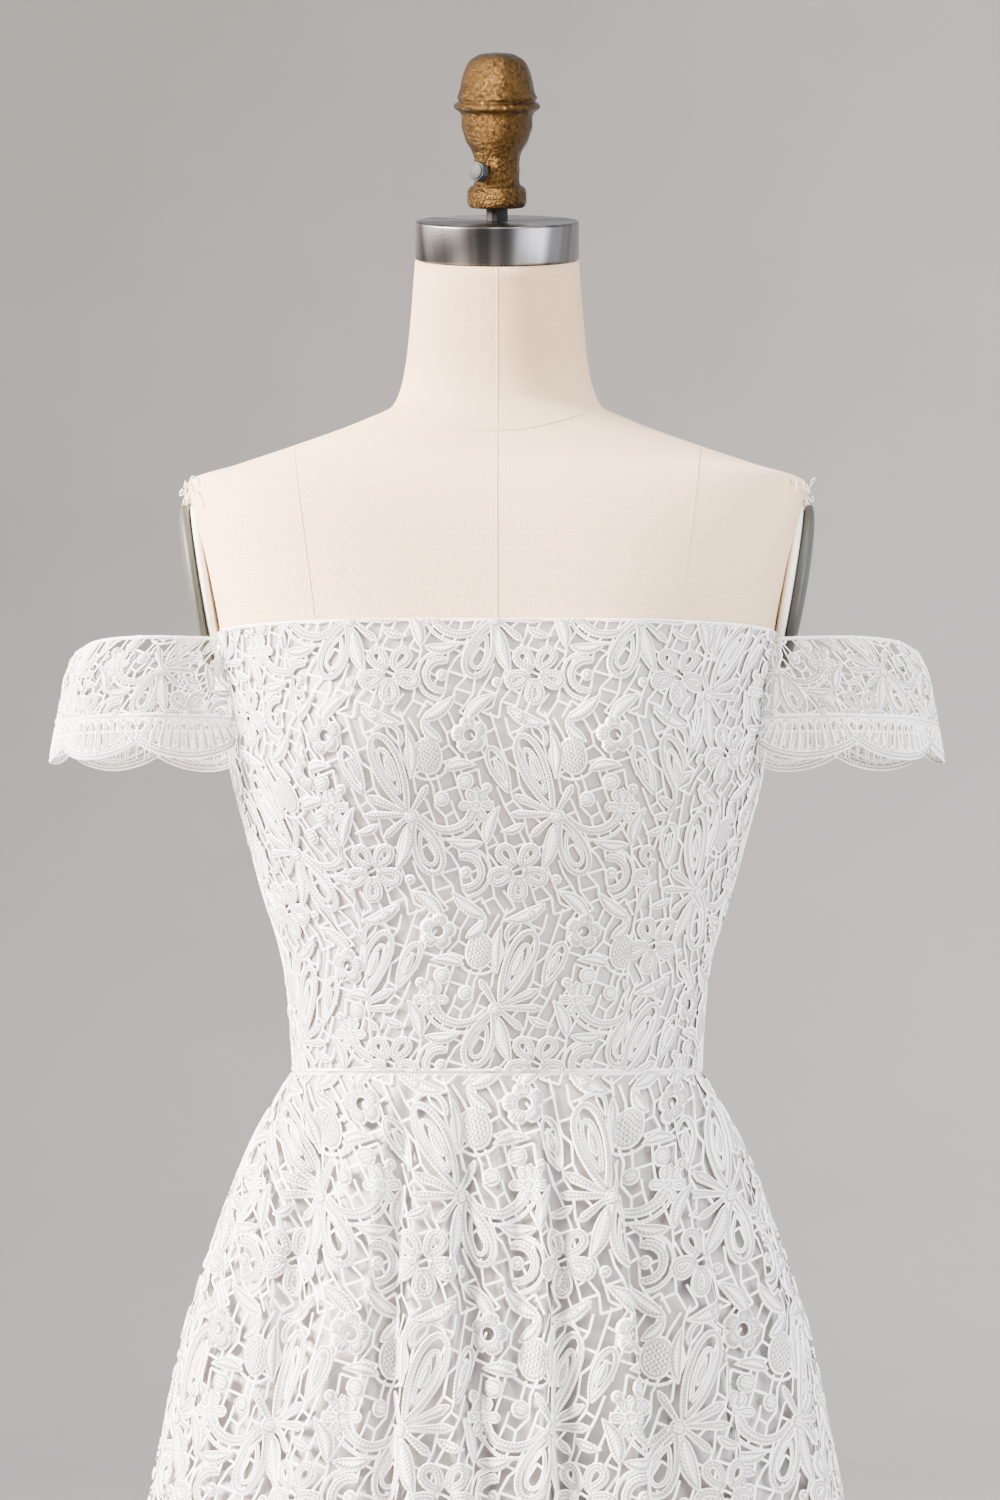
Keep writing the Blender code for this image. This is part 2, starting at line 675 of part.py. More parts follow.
BOLT_ANGLE = math.radians(-42)
BOLT_RADIUS = 0.0055
BOLT_LONG = 0.005
bpy.ops.mesh.primitive_cylinder_add(vertices=6, radius=BOLT_RADIUS, depth=BOLT_LONG)
bolt = adopt(bpy.context.object, "form_bolt", ZINC)
bolt.data.transform(Matrix.Rotation(math.pi / 2, 4, "X"))
reach = STEM_RADIUS + SEAM_GAP + BOLT_LONG / 2
bolt.parent = NECK
bolt.location = (reach * math.sin(BOLT_ANGLE), -reach * math.cos(BOLT_ANGLE), FINIAL_FOOT + 0.0225)
bolt.rotation_euler = (0, 0, BOLT_ANGLE)

# Stand: a pole under the torso in a socket on a round base, hidden by the skirt
TORSO_FOOT = WAIST_Z + RING_RISES_BELOW[0]
BASE_PROFILE = (
    (0.0, BASE_HIGH),
    (BASE_RADIUS - 0.008, BASE_HIGH - 0.003),
    (BASE_RADIUS, BASE_HIGH - 0.009),
    (BASE_RADIUS, 0.0),
    (0.0, 0.0),
)
turned("stand_base", BASE_PROFILE, BLACK_STEEL, 28)
SOCKET_PROFILE = (
    (0.0, SOCKET_HIGH),
    (SOCKET_RADIUS - 0.006, SOCKET_HIGH),
    (SOCKET_RADIUS, SOCKET_HIGH - 0.006),
    (SOCKET_RADIUS, 0.0),
    (0.0, 0.0),
)
socket_foot = BASE_HIGH + SEAM_GAP
turned("stand_socket", SOCKET_PROFILE, BLACK_STEEL).location = (0, 0, socket_foot)
pole_foot = socket_foot + SOCKET_HIGH + SEAM_GAP
pole_long = TORSO_FOOT - SEAM_GAP - pole_foot
bpy.ops.mesh.primitive_cylinder_add(
    vertices=16, radius=POLE_RADIUS, depth=pole_long, location=(0, 0, pole_foot + pole_long / 2)
)
adopt(bpy.context.object, "stand_pole", BLACK_STEEL)

# Buttons: covered domes down the centre back closing
for k in range(BUTTONS):
    rise = BUTTON_FIRST + (BUTTON_LAST - BUTTON_FIRST) * k / (BUTTONS - 1)
    back = np.array(math.pi - 1e-6)
    seat = outward(body_point, back, np.array(rise), DRESS_OUT)
    ahead = outward(body_point, back, np.array(rise), DRESS_OUT + 1.0)
    way = Vector(ahead - seat).normalized()
    bpy.ops.mesh.primitive_uv_sphere_add(segments=8, ring_count=5, radius=BUTTON_RADIUS)
    button = adopt(bpy.context.object, f"button_{k + 1}", SATIN_BUTTON, 60)
    button.scale = (1, 1, BUTTON_FLAT)
    apply_scale(button)
    button.rotation_euler = way.to_track_quat("Z", "Y").to_euler()
    button.location = Vector(seat) + way * (SEAM_GAP + BUTTON_RADIUS * BUTTON_FLAT)

bpy.context.view_layer.update()
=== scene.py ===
# Wedding dress of white corded lace over pale satin, on a canvas dress form
import math

import bmesh
import bpy
import numpy as np
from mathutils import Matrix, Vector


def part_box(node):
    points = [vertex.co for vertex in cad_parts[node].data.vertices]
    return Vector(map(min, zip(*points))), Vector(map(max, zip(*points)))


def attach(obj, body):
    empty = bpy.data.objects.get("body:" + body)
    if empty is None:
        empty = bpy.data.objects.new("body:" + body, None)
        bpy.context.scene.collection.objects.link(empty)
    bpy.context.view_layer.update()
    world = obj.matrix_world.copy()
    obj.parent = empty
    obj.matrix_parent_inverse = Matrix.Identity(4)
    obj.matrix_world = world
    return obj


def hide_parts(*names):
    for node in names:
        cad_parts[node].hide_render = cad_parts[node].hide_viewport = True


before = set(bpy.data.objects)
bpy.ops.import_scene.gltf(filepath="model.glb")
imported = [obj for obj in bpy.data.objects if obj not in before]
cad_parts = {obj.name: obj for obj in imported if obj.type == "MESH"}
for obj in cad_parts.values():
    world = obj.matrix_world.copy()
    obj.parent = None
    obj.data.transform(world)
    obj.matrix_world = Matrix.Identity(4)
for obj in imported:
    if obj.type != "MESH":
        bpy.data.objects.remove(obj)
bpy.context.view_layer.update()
WAIST_Z = 1.060

# Canvas torso
# Padded body under tight undyed linen canvas, cut in front, side and neck sections. Its seams are
# topstitched ridges, and a few yarns have pulled out of the seams at the shoulder points.
# Each ring of the body: its rise over the waist, half width, depth in front and behind, and squareness
BODY = np.array((
    (-0.230, 0.1460, 0.0880, 0.1040, 2.2), (-0.190, 0.1600, 0.0940, 0.1160, 2.2),
    (-0.100, 0.1470, 0.0990, 0.1050, 2.2), (-0.040, 0.1270, 0.0940, 0.0900, 2.2),
    (0.000, 0.1190, 0.0920, 0.0840, 2.2), (0.058, 0.1230, 0.0950, 0.0850, 2.3),
    (0.111, 0.1380, 0.1040, 0.0920, 2.3), (0.141, 0.1460, 0.1110, 0.0960, 2.3),
    (0.170, 0.1540, 0.1160, 0.1000, 2.3), (0.200, 0.1590, 0.1190, 0.1030, 2.3),
    (0.235, 0.1630, 0.1160, 0.1050, 2.5), (0.263, 0.1665, 0.1110, 0.1060, 2.9),
    (0.290, 0.1720, 0.1050, 0.1050, 3.2), (0.320, 0.1790, 0.0970, 0.1020, 3.2),
    (0.342, 0.1840, 0.0880, 0.0950, 3.0), (0.353, 0.1860, 0.0810, 0.0890, 2.7),
    (0.363, 0.1590, 0.0740, 0.0820, 2.4), (0.376, 0.1210, 0.0670, 0.0750, 2.3),
    (0.390, 0.0840, 0.0600, 0.0680, 2.1), (0.401, 0.0625, 0.0550, 0.0630, 2.0),
    (0.421, 0.0560, 0.0510, 0.0570, 2.0), (0.445, 0.0530, 0.0490, 0.0530, 2.0),
    (0.490, 0.0495, 0.0485, 0.0495, 2.0),
))
BUST_ANGLE, BUST_SPREAD = math.radians(36), math.radians(20)
BUST_RISE, BUST_REACH, BUST_FULL = 0.190, 0.052, 0.013
NECK_FOOT, NECK_TOP = 0.40, 0.490
NECK_TILT = math.radians(14)


def smooth_value(xs, ys, at):
    """A smooth curve through given sizes that never overshoots them."""
    steps = np.diff(ys) / np.diff(xs)
    before, after = steps[:-1], steps[1:]
    total = np.where(before * after > 0, before + after, 1.0)
    inner = np.where(before * after > 0, 2 * before * after / total, 0.0)
    slopes = np.concatenate([steps[:1], inner, steps[-1:]])
    at = np.clip(at, xs[0], xs[-1])
    k = np.clip(np.searchsorted(xs, at, side="right") - 1, 0, len(xs) - 2)
    span = xs[k + 1] - xs[k]
    t = (at - xs[k]) / span
    low = ys[k] * (1 + 2 * t) * (1 - t) ** 2 + slopes[k] * span * t * (1 - t) ** 2
    return low + ys[k + 1] * t * t * (3 - 2 * t) + slopes[k + 1] * span * t * t * (t - 1)


def ring_radius(angle, half_width, front, back, squareness):
    """The radius of a rounded oblong at an angle."""
    depth = np.where(np.cos(angle) >= 0, front, back)
    across = np.abs(np.sin(angle) / half_width) ** squareness
    return (across + np.abs(np.cos(angle) / depth) ** squareness) ** (-1 / squareness)


def placed(angle, radius, rise):
    """A point from its angle round the body (0 in front), its radius and its rise over the waist."""
    return np.stack([radius * np.sin(angle), -radius * np.cos(angle), WAIST_Z + rise + 0 * angle], -1)


def body_point(angle, rise):
    sizes = [smooth_value(BODY[:, 0], BODY[:, k], rise) for k in (1, 2, 3, 4)]
    radius = ring_radius(angle, *sizes)
    around = np.exp(-(((np.abs(angle) - BUST_ANGLE) / BUST_SPREAD) ** 2))
    radius = radius + BUST_FULL * around * np.exp(-(((rise - BUST_RISE) / BUST_REACH) ** 2))
    return placed(angle, radius, rise)


def neck_tipped(points, rise):
    """Tips the rings of the neck forward, as its top is cut."""
    share = np.clip((rise - NECK_FOOT) / (NECK_TOP - NECK_FOOT), 0, 1)
    tipped = points.copy()
    tipped[..., 2] += share * math.tan(NECK_TILT) * points[..., 1]
    return tipped


def torso_point(angle, rise):
    return neck_tipped(body_point(angle, rise), rise)


def outward(surface, first, second, out):
    """Points of a surface moved out along its normal."""
    step = 1e-4
    across = surface(first + step, second) - surface(first - step, second)
    up = surface(first, second + step) - surface(first, second - step)
    normal = np.cross(across, up)
    normal /= np.linalg.norm(normal, axis=-1, keepdims=True)
    return surface(first, second) + np.asarray(out)[..., None] * normal


def linear(text):
    """An sRGB hex colour as linear red, green, blue and alpha."""
    channels = [int(text[k : k + 2], 16) / 255 for k in (1, 3, 5)]
    return tuple(c / 12.92 if c <= 0.04045 else ((c + 0.055) / 1.055) ** 2.4 for c in channels) + (1.0,)


def add(look, kind, values=(), links=(), **settings):
    """Adds a node to a material, with its settings, socket values and links."""
    made = look.node_tree.nodes.new("ShaderNode" + kind)
    for name, value in settings.items():
        setattr(made, name, value)
    for name, value in dict(values).items():
        made.inputs[name].default_value = value
    for name, source in dict(links).items():
        look.node_tree.links.new(source, made.inputs[name])
    return made


def maths(look, operation, *operands):
    """The output of a maths node on numbers and sockets."""
    made = add(look, "Math", operation=operation)
    for k, operand in enumerate(operands):
        if isinstance(operand, (int, float)):
            made.inputs[k].default_value = operand
        else:
            look.node_tree.links.new(operand, made.inputs[k])
    return made.outputs[0]


def blended(look, share, first, second):
    """A colour between two colours, each a hex text or a socket."""
    made = add(look, "Mix", data_type="RGBA", links={0: share})
    for socket, colour in ((6, first), (7, second)):
        if isinstance(colour, str):
            made.inputs[socket].default_value = linear(colour)
        else:
            look.node_tree.links.new(colour, made.inputs[socket])
    return made.outputs[2]


def noise(look, scale, detail=3.0, roughness=0.5, stretch=(1, 1, 1)):
    """The value of a noise in the object's own space, with its scale in lumps a metre."""
    place = add(look, "TexCoord")
    mapping = add(look, "Mapping", {"Scale": stretch}, {"Vector": place.outputs["Object"]})
    values = {"Scale": scale, "Detail": detail, "Roughness": roughness}
    return add(look, "TexNoise", values, {"Vector": mapping.outputs[0]}).outputs[0]


def material(name, roughness, **sockets):
    """A new material and its shader, with the sockets that are constant over the surface."""
    look = bpy.data.materials.new(name)
    look.use_nodes = True
    shader = look.node_tree.nodes["Principled BSDF"]
    shader.inputs["Roughness"].default_value = roughness
    for socket, value in sockets.items():
        shader.inputs[socket.replace("_", " ")].default_value = value
    return look, shader


def finish(look, shader, colour, height, depth, distance=0.001):
    """Links a colour and a bump, with its depth as a share, to a shader."""
    look.node_tree.links.new(colour, shader.inputs["Base Color"])
    bump = add(look, "Bump", {"Strength": depth, "Distance": distance}, {"Height": height})
    look.node_tree.links.new(bump.outputs[0], shader.inputs["Normal"])


def two_tone(name, roughness, tones, grain, relief, bump, **sockets):
    """A material of two tones mixed by one noise, with a bump from another."""
    look, shader = material(name, roughness, **sockets)
    finish(look, shader, blended(look, noise(look, *grain), *tones), noise(look, *relief), *bump)
    return look


def weave(look, pitch, mean_radius=0.14):
    """Crossed threads at a pitch in metres, from 0 in the gaps to 1 on the threads."""
    place = add(look, "TexCoord").outputs["Object"]
    parts = add(look, "SeparateXYZ", links={0: place})
    turn = maths(look, "ARCTAN2", parts.outputs[0], parts.outputs[1])
    round_body = maths(look, "SINE", maths(look, "MULTIPLY", turn, 2 * math.pi * mean_radius / pitch))
    up_body = maths(look, "SINE", maths(look, "MULTIPLY", parts.outputs[2], 2 * math.pi / pitch))
    return maths(look, "MULTIPLY_ADD", maths(look, "ADD", round_body, up_body), 0.25, 0.5)


# Unbleached linen, plain woven and sized: matt, warm cream, slubby, with painted shade greying the neck.
# Its 0.6 mm threads are drawn at 1.4 mm, since the finer pitch would only shimmer.
CANVAS, shader = material("unbleached_linen_canvas", 0.86, Sheen_Weight=0.12, Sheen_Roughness=0.5)
threads = weave(CANVAS, 0.0014)
slubs = noise(CANVAS, 160, 4, 0.6, (1, 1, 6))
patches = noise(CANVAS, 9, 3, 0.5)
tone = blended(CANVAS, patches, "#D9B790", "#E8CAA6")
tone = blended(CANVAS, maths(CANVAS, "MULTIPLY", slubs, 0.35), tone, "#C6A684")
height = add(CANVAS, "SeparateXYZ", links={0: add(CANVAS, "TexCoord").outputs["Object"]}).outputs[2]
# Painted shade: the canvas greys from the foot of the neck up to its top
painted_neck_shade = add(CANVAS, "MapRange", {1: WAIST_Z + 0.36, 2: WAIST_Z + 0.43, 4: 0.60}, {0: height}).outputs[0]
tone = blended(CANVAS, painted_neck_shade, tone, "#A98B6B")
finish(CANVAS, shader, tone, maths(CANVAS, "MULTIPLY_ADD", slubs, 0.6, threads), 0.60, 0.0006)


def object_of(name, points, faces, look, smooth=True):
    """An object at the origin from points and faces."""
    mesh = bpy.data.meshes.new(name)
    mesh.from_pydata([tuple(point) for point in points], [], faces)
    mesh.materials.append(look)
    mesh.polygons.foreach_set("use_smooth", np.full(len(mesh.polygons), smooth))
    made = bpy.data.objects.new(name, mesh)
    bpy.context.scene.collection.objects.link(made)
    return made


def grid_faces(rows, columns, closed=False):
    """Faces of a grid of points stored row by row, facing outwards for rows that climb."""
    wide = columns if closed else columns - 1
    r, c = np.meshgrid(np.arange(rows - 1), np.arange(wide), indexing="ij")
    right = (c + 1) % columns
    corners = (r * columns + c, r * columns + right, (r + 1) * columns + right, (r + 1) * columns + c)
    return np.stack(corners, -1).reshape(-1, 4).tolist()


def closed_faces(rows, columns):
    """Faces of rings stored from the lowest up, closed at both ends."""
    faces = grid_faces(rows, columns, closed=True)
    faces.append(list(range(columns))[::-1])
    faces.append([(rows - 1) * columns + k for k in range(columns)])
    return faces


TORSO_COLUMNS = 168
rises = np.concatenate([
    np.linspace(-0.230, 0.330, 66), np.linspace(0.334, 0.420, 44), np.linspace(0.427, NECK_TOP, 10)
])
angles = np.linspace(-math.pi, math.pi, TORSO_COLUMNS, endpoint=False)
points = torso_point(angles[None, :] + 0 * rises[:, None], rises[:, None] + 0 * angles[None, :])
torso = object_of("canvas_torso", points.reshape(-1, 3), closed_faces(len(rises), TORSO_COLUMNS), CANVAS)
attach(torso, "root")
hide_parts("form_torso")


def ribbon(surface, first, second, half_wide, lift, base=0.0):
    """Points and faces of a low ridge along a path on a surface, five points across."""
    middle = surface(first, second)
    ahead = np.gradient(middle, axis=0)
    normal = outward(surface, first, second, np.full(first.shape, 1.0)) - middle
    aside = np.cross(ahead, normal)
    aside /= np.linalg.norm(aside, axis=-1, keepdims=True)
    profile = ((-1, -0.3), (-0.75, 0.8), (0, 1), (0.75, 0.8), (1, -0.3))
    rows = [middle + aside * s * half_wide + normal * (base + h * lift) for s, h in profile]
    points = np.stack(rows, 0)
    return points.reshape(-1, 3), grid_faces(len(profile), len(first))


def joined(name, parts, look):
    """One object from several sets of points and faces."""
    points, faces = [], []
    for part_points, part_faces in parts:
        faces += [[k + len(points) for k in face] for face in part_faces]
        points += [tuple(point) for point in part_points]
    return object_of(name, points, faces, look)


def angle_at(across, rise):
    """The angle on the front of the body at a distance from its centre line."""
    low, high = np.zeros(rise.shape), np.full(rise.shape, math.pi / 2)
    for _ in range(30):
        middle = (low + high) / 2
        inside = body_point(middle, rise)[..., 0] < across
        low, high = np.where(inside, middle, low), np.where(inside, high, middle)
    return low


# Seam thread: a little darker than the canvas and pulled into it, so that each seam reads as a fine line
THREAD = two_tone("linen_seam_thread", 0.8, ("#BEA381", "#CFB38F"), (700, 2), (1800, 2), (0.3, 0.0003))
SEAM_SIZE = 0.0006, 0.0002
SEAM_FOOT = 0.255
rise = np.linspace(SEAM_FOOT, NECK_TOP - 0.0005, 64)
seams = [ribbon(torso_point, 0 * rise + middle, rise, *SEAM_SIZE) for middle in (1e-4, math.pi - 1e-4)]
rise = np.linspace(0.372, SEAM_FOOT, 40)
across = 0.121 - 0.016 * np.linspace(0, 1, 40)
for side in (1, -1):
    seams.append(ribbon(torso_point, side * angle_at(across, rise), rise, *SEAM_SIZE))
    seams.append(ribbon(torso_point, side * (math.pi - angle_at(across, rise)), rise, *SEAM_SIZE))
# The seam round the foot of the neck climbs at both sides
angle = np.linspace(-math.pi, math.pi, 120)
seams.append(ribbon(torso_point, angle, 0.378 + 0.024 * np.sin(angle) ** 2, 0.0008, 0.0003))
seam_ridges = joined("canvas_seams", seams, THREAD)
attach(seam_ridges, "root")

# Pulled yarns: short loose ends of the canvas's own thread at both shoulder points
YARN = two_tone(
    "loose_linen_yarn", 0.9, ("#F4EBDD", "#DCCFBC"), (900, 2), (2500, 2), (0.4, 0.0003), Sheen_Weight=0.2
)
YARNS, YARN_POINTS = 13, 8
bpy.ops.object.select_all(action="DESELECT")
for side, where in ((-1, "left"), (1, "right")):
    curve = bpy.data.curves.new("shoulder_yarns_" + where, "CURVE")
    curve.dimensions = "3D"
    curve.bevel_depth = 0.0005
    curve.bevel_resolution = 1
    for k in range(YARNS):
        around = side * math.radians(76 + 2.4 * k)
        high = 0.347 + 0.004 * math.sin(2.1 * k + side)
        start = torso_point(np.array(around), np.array(high))
        spline = curve.splines.new("POLY")
        spline.points.add(YARN_POINTS - 1)
        for j in range(YARN_POINTS):
            t = j / (YARN_POINTS - 1)
            out = start[0] + side * (0.0010 + 0.0050 * math.sin(2.6 * t) * (0.6 + 0.4 * math.sin(3.3 * k)))
            drop = start[2] + 0.0035 * math.sin(3.4 * t + k) - 0.007 * t * math.cos(1.7 * k)
            ahead = start[1] - 0.003 * t + 0.003 * math.sin(5 * t + 1.3 * k)
            spline.points[j].co = (out, ahead, drop, 1)
    yarns = bpy.data.objects.new("shoulder_yarns_" + where, curve)
    bpy.context.scene.collection.objects.link(yarns)
    bpy.context.view_layer.objects.active = yarns
    yarns.select_set(True)
    bpy.ops.object.convert(target="MESH")
    yarns = bpy.context.object
    yarns.data.materials.append(YARN)
    yarns.select_set(False)
    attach(yarns, "root")

# Arm plates
# Oval plates of painted board that close the armholes, with the canvas's folded edge round each as
# a thin light rim. The grey-green paint is matt and a little rubbed at the rim.
PLATE = two_tone("painted_board", 0.55, ("#2B2E2A", "#3F423D"), (60, 4, 0.6), (500, 3), (0.25, 0.0004))
TAPE = two_tone("white_edge_tape", 0.75, ("#E6DFD3", "#F5EFE5"), (300, 2), (1600, 2), (0.3, 0.0003))
PLATE_AT = (0.1805, 0.002, WAIST_Z + 0.292)
PLATE_TILT = math.radians(9.5)
PLATE_SIZE, RIM_SIZE = (0.0062, 0.041, 0.050), (0.0046, 0.0418, 0.0508)


def oval(name, side, inset, size, bluntness, look):
    """A shallow dome in an armhole with a blunt edge, thicker than a lens at its rim."""
    bpy.ops.mesh.primitive_uv_sphere_add(segments=72, ring_count=36, radius=1, rotation=(0, math.pi / 2, 0))
    made = bpy.context.object
    made.name = name
    bpy.ops.object.transform_apply(location=False, rotation=True, scale=False)
    for vertex in made.data.vertices:
        vertex.co.x = math.copysign(abs(vertex.co.x) ** bluntness, vertex.co.x)
    made.scale = size
    bpy.ops.object.transform_apply(location=False, rotation=False, scale=True)
    made.location = (side * (PLATE_AT[0] - inset), PLATE_AT[1], PLATE_AT[2])
    made.rotation_euler = (0, side * PLATE_TILT, 0)
    bpy.ops.object.transform_apply()
    made.data.materials.append(look)
    return made


for side, where in ((1, "right"), (-1, "left")):
    plate = oval("arm_plate_" + where, side, 0.0, PLATE_SIZE, 0.75, PLATE)
    bpy.ops.object.shade_smooth_by_angle(angle=math.radians(40))
    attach(plate, "root")
    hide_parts("form_arm_plate_" + where)
    rim = oval("arm_plate_rim_" + where, side, PLATE_SIZE[0], RIM_SIZE, 0.6, TAPE)
    bpy.ops.object.shade_smooth()
    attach(rim, "root")

# Neck cap and finial
# A spun steel cap closes the neck. On its short black threaded post sits a sand-cast brass finial,
# whose rough skin keeps the mould's grain, held by a zinc-plated bolt through its foot.
CAP_FOOT, CAP_HIGH, CAP_RADIUS, POST_HIGH = 0.0003, 0.0235, 0.0496, 0.0072


def on_neck(made, along):
    """Sets an upright object on the neck's tilted axis, in its mesh."""
    bpy.ops.object.select_all(action="DESELECT")
    made.select_set(True)
    bpy.context.view_layer.objects.active = made
    made.rotation_euler = (NECK_TILT, 0, 0)
    sine, cosine = math.sin(NECK_TILT), math.cos(NECK_TILT)
    made.location = (0, -along * sine, WAIST_Z + NECK_TOP + along * cosine)
    bpy.ops.object.transform_apply()


def rounded_edges(made, width, segments):
    """Rounds the edges of the active object."""
    edge = made.modifiers.new("edge", "BEVEL")
    edge.width, edge.segments = width, segments
    bpy.ops.object.modifier_apply(modifier="edge")


# Brushed steel: fine turning marks round the cap, and soft bands of painted reflection, light and dark,
# round its axis
STEEL, shader = material("brushed_steel", 0.34, Metallic=1.0, Anisotropic=0.5)
marks = noise(STEEL, 40, 5, 0.7, (1, 1, 60))
place = add(STEEL, "TexCoord").outputs["Object"]
level = add(STEEL, "VectorMath", {1: (1, 1, 0)}, {0: place}, operation="MULTIPLY").outputs[0]
round_cap = add(STEEL, "VectorMath", links={0: level}, operation="NORMALIZE").outputs[0]
# Painted reflection: bands of dark and light steel tone round the cap's axis
painted_reflection_bands = add(STEEL, "TexNoise", {2: 2.6, 3: 2.0, 4: 0.4}, {0: round_cap}).outputs[0]
painted_reflection_bands = add(STEEL, "MapRange", {1: 0.36, 2: 0.64}, {0: painted_reflection_bands}).outputs[0]
tone = blended(STEEL, painted_reflection_bands, "#1B1B1D", "#787677")
tone = blended(STEEL, maths(STEEL, "MULTIPLY", marks, 0.3), tone, "#6A6968")
finish(STEEL, shader, tone, marks, 0.12, 0.0003)
bpy.ops.mesh.primitive_cylinder_add(vertices=128, radius=CAP_RADIUS, depth=CAP_HIGH)
cap = bpy.context.object
cap.name = "neck_cap"
rounded_edges(cap, 0.0016, 4)
bpy.ops.object.shade_smooth_by_angle(angle=math.radians(40))
on_neck(cap, CAP_FOOT + CAP_HIGH / 2)
cap.data.materials.append(STEEL)
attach(cap, "root")
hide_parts("form_neck_cap")

# Blackened iron: oily black with dry grey wear, for the post and the stand
IRON = two_tone(
    "blackened_iron", 0.6, ("#0B0C0C", "#1D1F20"), (80, 5, 0.65), (700, 3), (0.3, 0.0004),
    Specular_IOR_Level=0.15,
)
for name in ("form_post", "stand_base", "stand_socket", "stand_pole"):
    for material_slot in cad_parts[name].material_slots:
        material_slot.material = IRON

# Cast brass: dull gold, darker in its pits, with painted shade towards its outline as seen from the camera,
# brighter where the skin is rubbed
BRASS, shader = material("sand_cast_brass", 0.28, Metallic=1.0)
pits = noise(BRASS, 470, 4, 0.65)
rubbed = noise(BRASS, 70, 3, 0.5)
skin = add(BRASS, "MapRange", {1: 0.34, 2: 0.66}, {0: pits}).outputs[0]
tone = blended(BRASS, skin, "#150E06", "#5F4626")
tone = blended(BRASS, maths(BRASS, "MULTIPLY", rubbed, 0.2), tone, "#6E522C")
# Painted shade: the colour darkens towards the finial's outline as seen from the camera
edge = add(BRASS, "LayerWeight", {"Blend": 0.35}).outputs["Facing"]
tone = blended(BRASS, edge, tone, "#191007")
finish(BRASS, shader, tone, maths(BRASS, "MULTIPLY_ADD", rubbed, 0.1, pits), 0.9, 0.0026)
# The finial's radius and height over its foot, from its top down
FINIAL_PROFILE = (
    (0.0005, 0.0930), (0.0100, 0.0922), (0.0165, 0.0885), (0.0202, 0.0815), (0.0230, 0.0680),
    (0.0242, 0.0660), (0.0228, 0.0638), (0.0258, 0.0622), (0.0262, 0.0600), (0.0216, 0.0568),
    (0.0214, 0.0480), (0.0190, 0.0405), (0.0155, 0.0345), (0.0135, 0.0305), (0.0135, 0.0140),
    (0.0165, 0.0125), (0.0180, 0.0095), (0.0180, 0.0035), (0.0165, 0.0), (0.0005, 0.0),
)
FINIAL_FOOT = CAP_FOOT + CAP_HIGH + POST_HIGH + 0.0006
FINIAL_SIDES = 96
profile = []
for (r0, h0), (r1, h1) in zip(FINIAL_PROFILE, FINIAL_PROFILE[1:]):
    for t in (0.0, 0.25, 0.5, 0.75):
        profile.append((r0 + (r1 - r0) * t, h0 + (h1 - h0) * t))
profile = np.array(profile[::-1])
soft = profile.copy()
soft[1:-1] = (profile[:-2] + 2 * profile[1:-1] + profile[2:]) / 4
turn = np.linspace(0, 2 * math.pi, FINIAL_SIDES, endpoint=False)[None, :]
radius, high = soft[:, 0][:, None], soft[:, 1][:, None]
lumps = 0.00022 * np.sin(7 * turn + 260 * high) * np.sin(5 * turn - 410 * high + 1)
lumps = lumps + 0.00012 * np.sin(13 * turn + 700 * high)
radius = radius + lumps * np.clip(radius / 0.012, 0, 1)
points = np.stack([radius * np.cos(turn), radius * np.sin(turn), high + 0 * turn], -1)
finial = object_of("cast_finial", points.reshape(-1, 3), closed_faces(len(soft), FINIAL_SIDES), BRASS)
on_neck(finial, FINIAL_FOOT)
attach(finial, "root")
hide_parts("form_finial")

# Zinc plate: blue-grey with a faint mottle, for the bolt's six-sided head and its raised round face
MOTTLE = 600, 3, 0.6
ZINC = two_tone(
    "zinc_plated_steel", 0.6, ("#121516", "#303537"), MOTTLE, MOTTLE, (0.25, 0.0003),
    Metallic=0.3, Specular_IOR_Level=0.2,
)
bolt_at = np.array([list(corner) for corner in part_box("form_bolt")]).mean(axis=0)
BOLT_TURN = math.radians(-42)
bpy.ops.object.select_all(action="DESELECT")
bpy.ops.mesh.primitive_cylinder_add(vertices=6, radius=0.0064, depth=0.0048)
bolt = bpy.context.object
bolt.name = "hex_bolt"
bpy.ops.object.mode_set(mode="EDIT")
bpy.ops.mesh.select_mode(type="FACE")
bpy.ops.mesh.select_all(action="SELECT")
bpy.ops.mesh.bevel(offset=0.0005, segments=3)
bpy.ops.object.mode_set(mode="OBJECT")
bpy.ops.mesh.primitive_cylinder_add(vertices=32, radius=0.0046, depth=0.0010, location=(0, 0, 0.0026))
rounded_edges(bpy.context.object, 0.0003, 2)
bolt.select_set(True)
bpy.context.view_layer.objects.active = bolt
bpy.ops.object.join()
bolt.rotation_euler = (math.pi / 2, 0, BOLT_TURN)
bolt.location = tuple(bolt_at)
bpy.ops.object.transform_apply()
bpy.ops.object.shade_smooth_by_angle(angle=math.radians(35))
bolt.data.materials.append(ZINC)
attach(bolt, "root")
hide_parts("form_bolt")

# Linings
# Thin shells of pale satin under the lace, seen through its gaps and as a narrow bound edge at the
# neckline. The satin is laid on the body above the waist, and hangs in half the lace's folds below.
LINING_WALL, LACE_WALL, SEAM_GAP, LAYER_GAP = 0.0012, 0.0016, 0.0003, 0.0006
DRESS_OUT = SEAM_GAP + LINING_WALL + LAYER_GAP + LACE_WALL
NECKLINE_RISE, UNDERARM_RISE, HEM_DROP = 0.262, 0.220, 1.042
UNDERARM_SPREAD = math.radians(17)
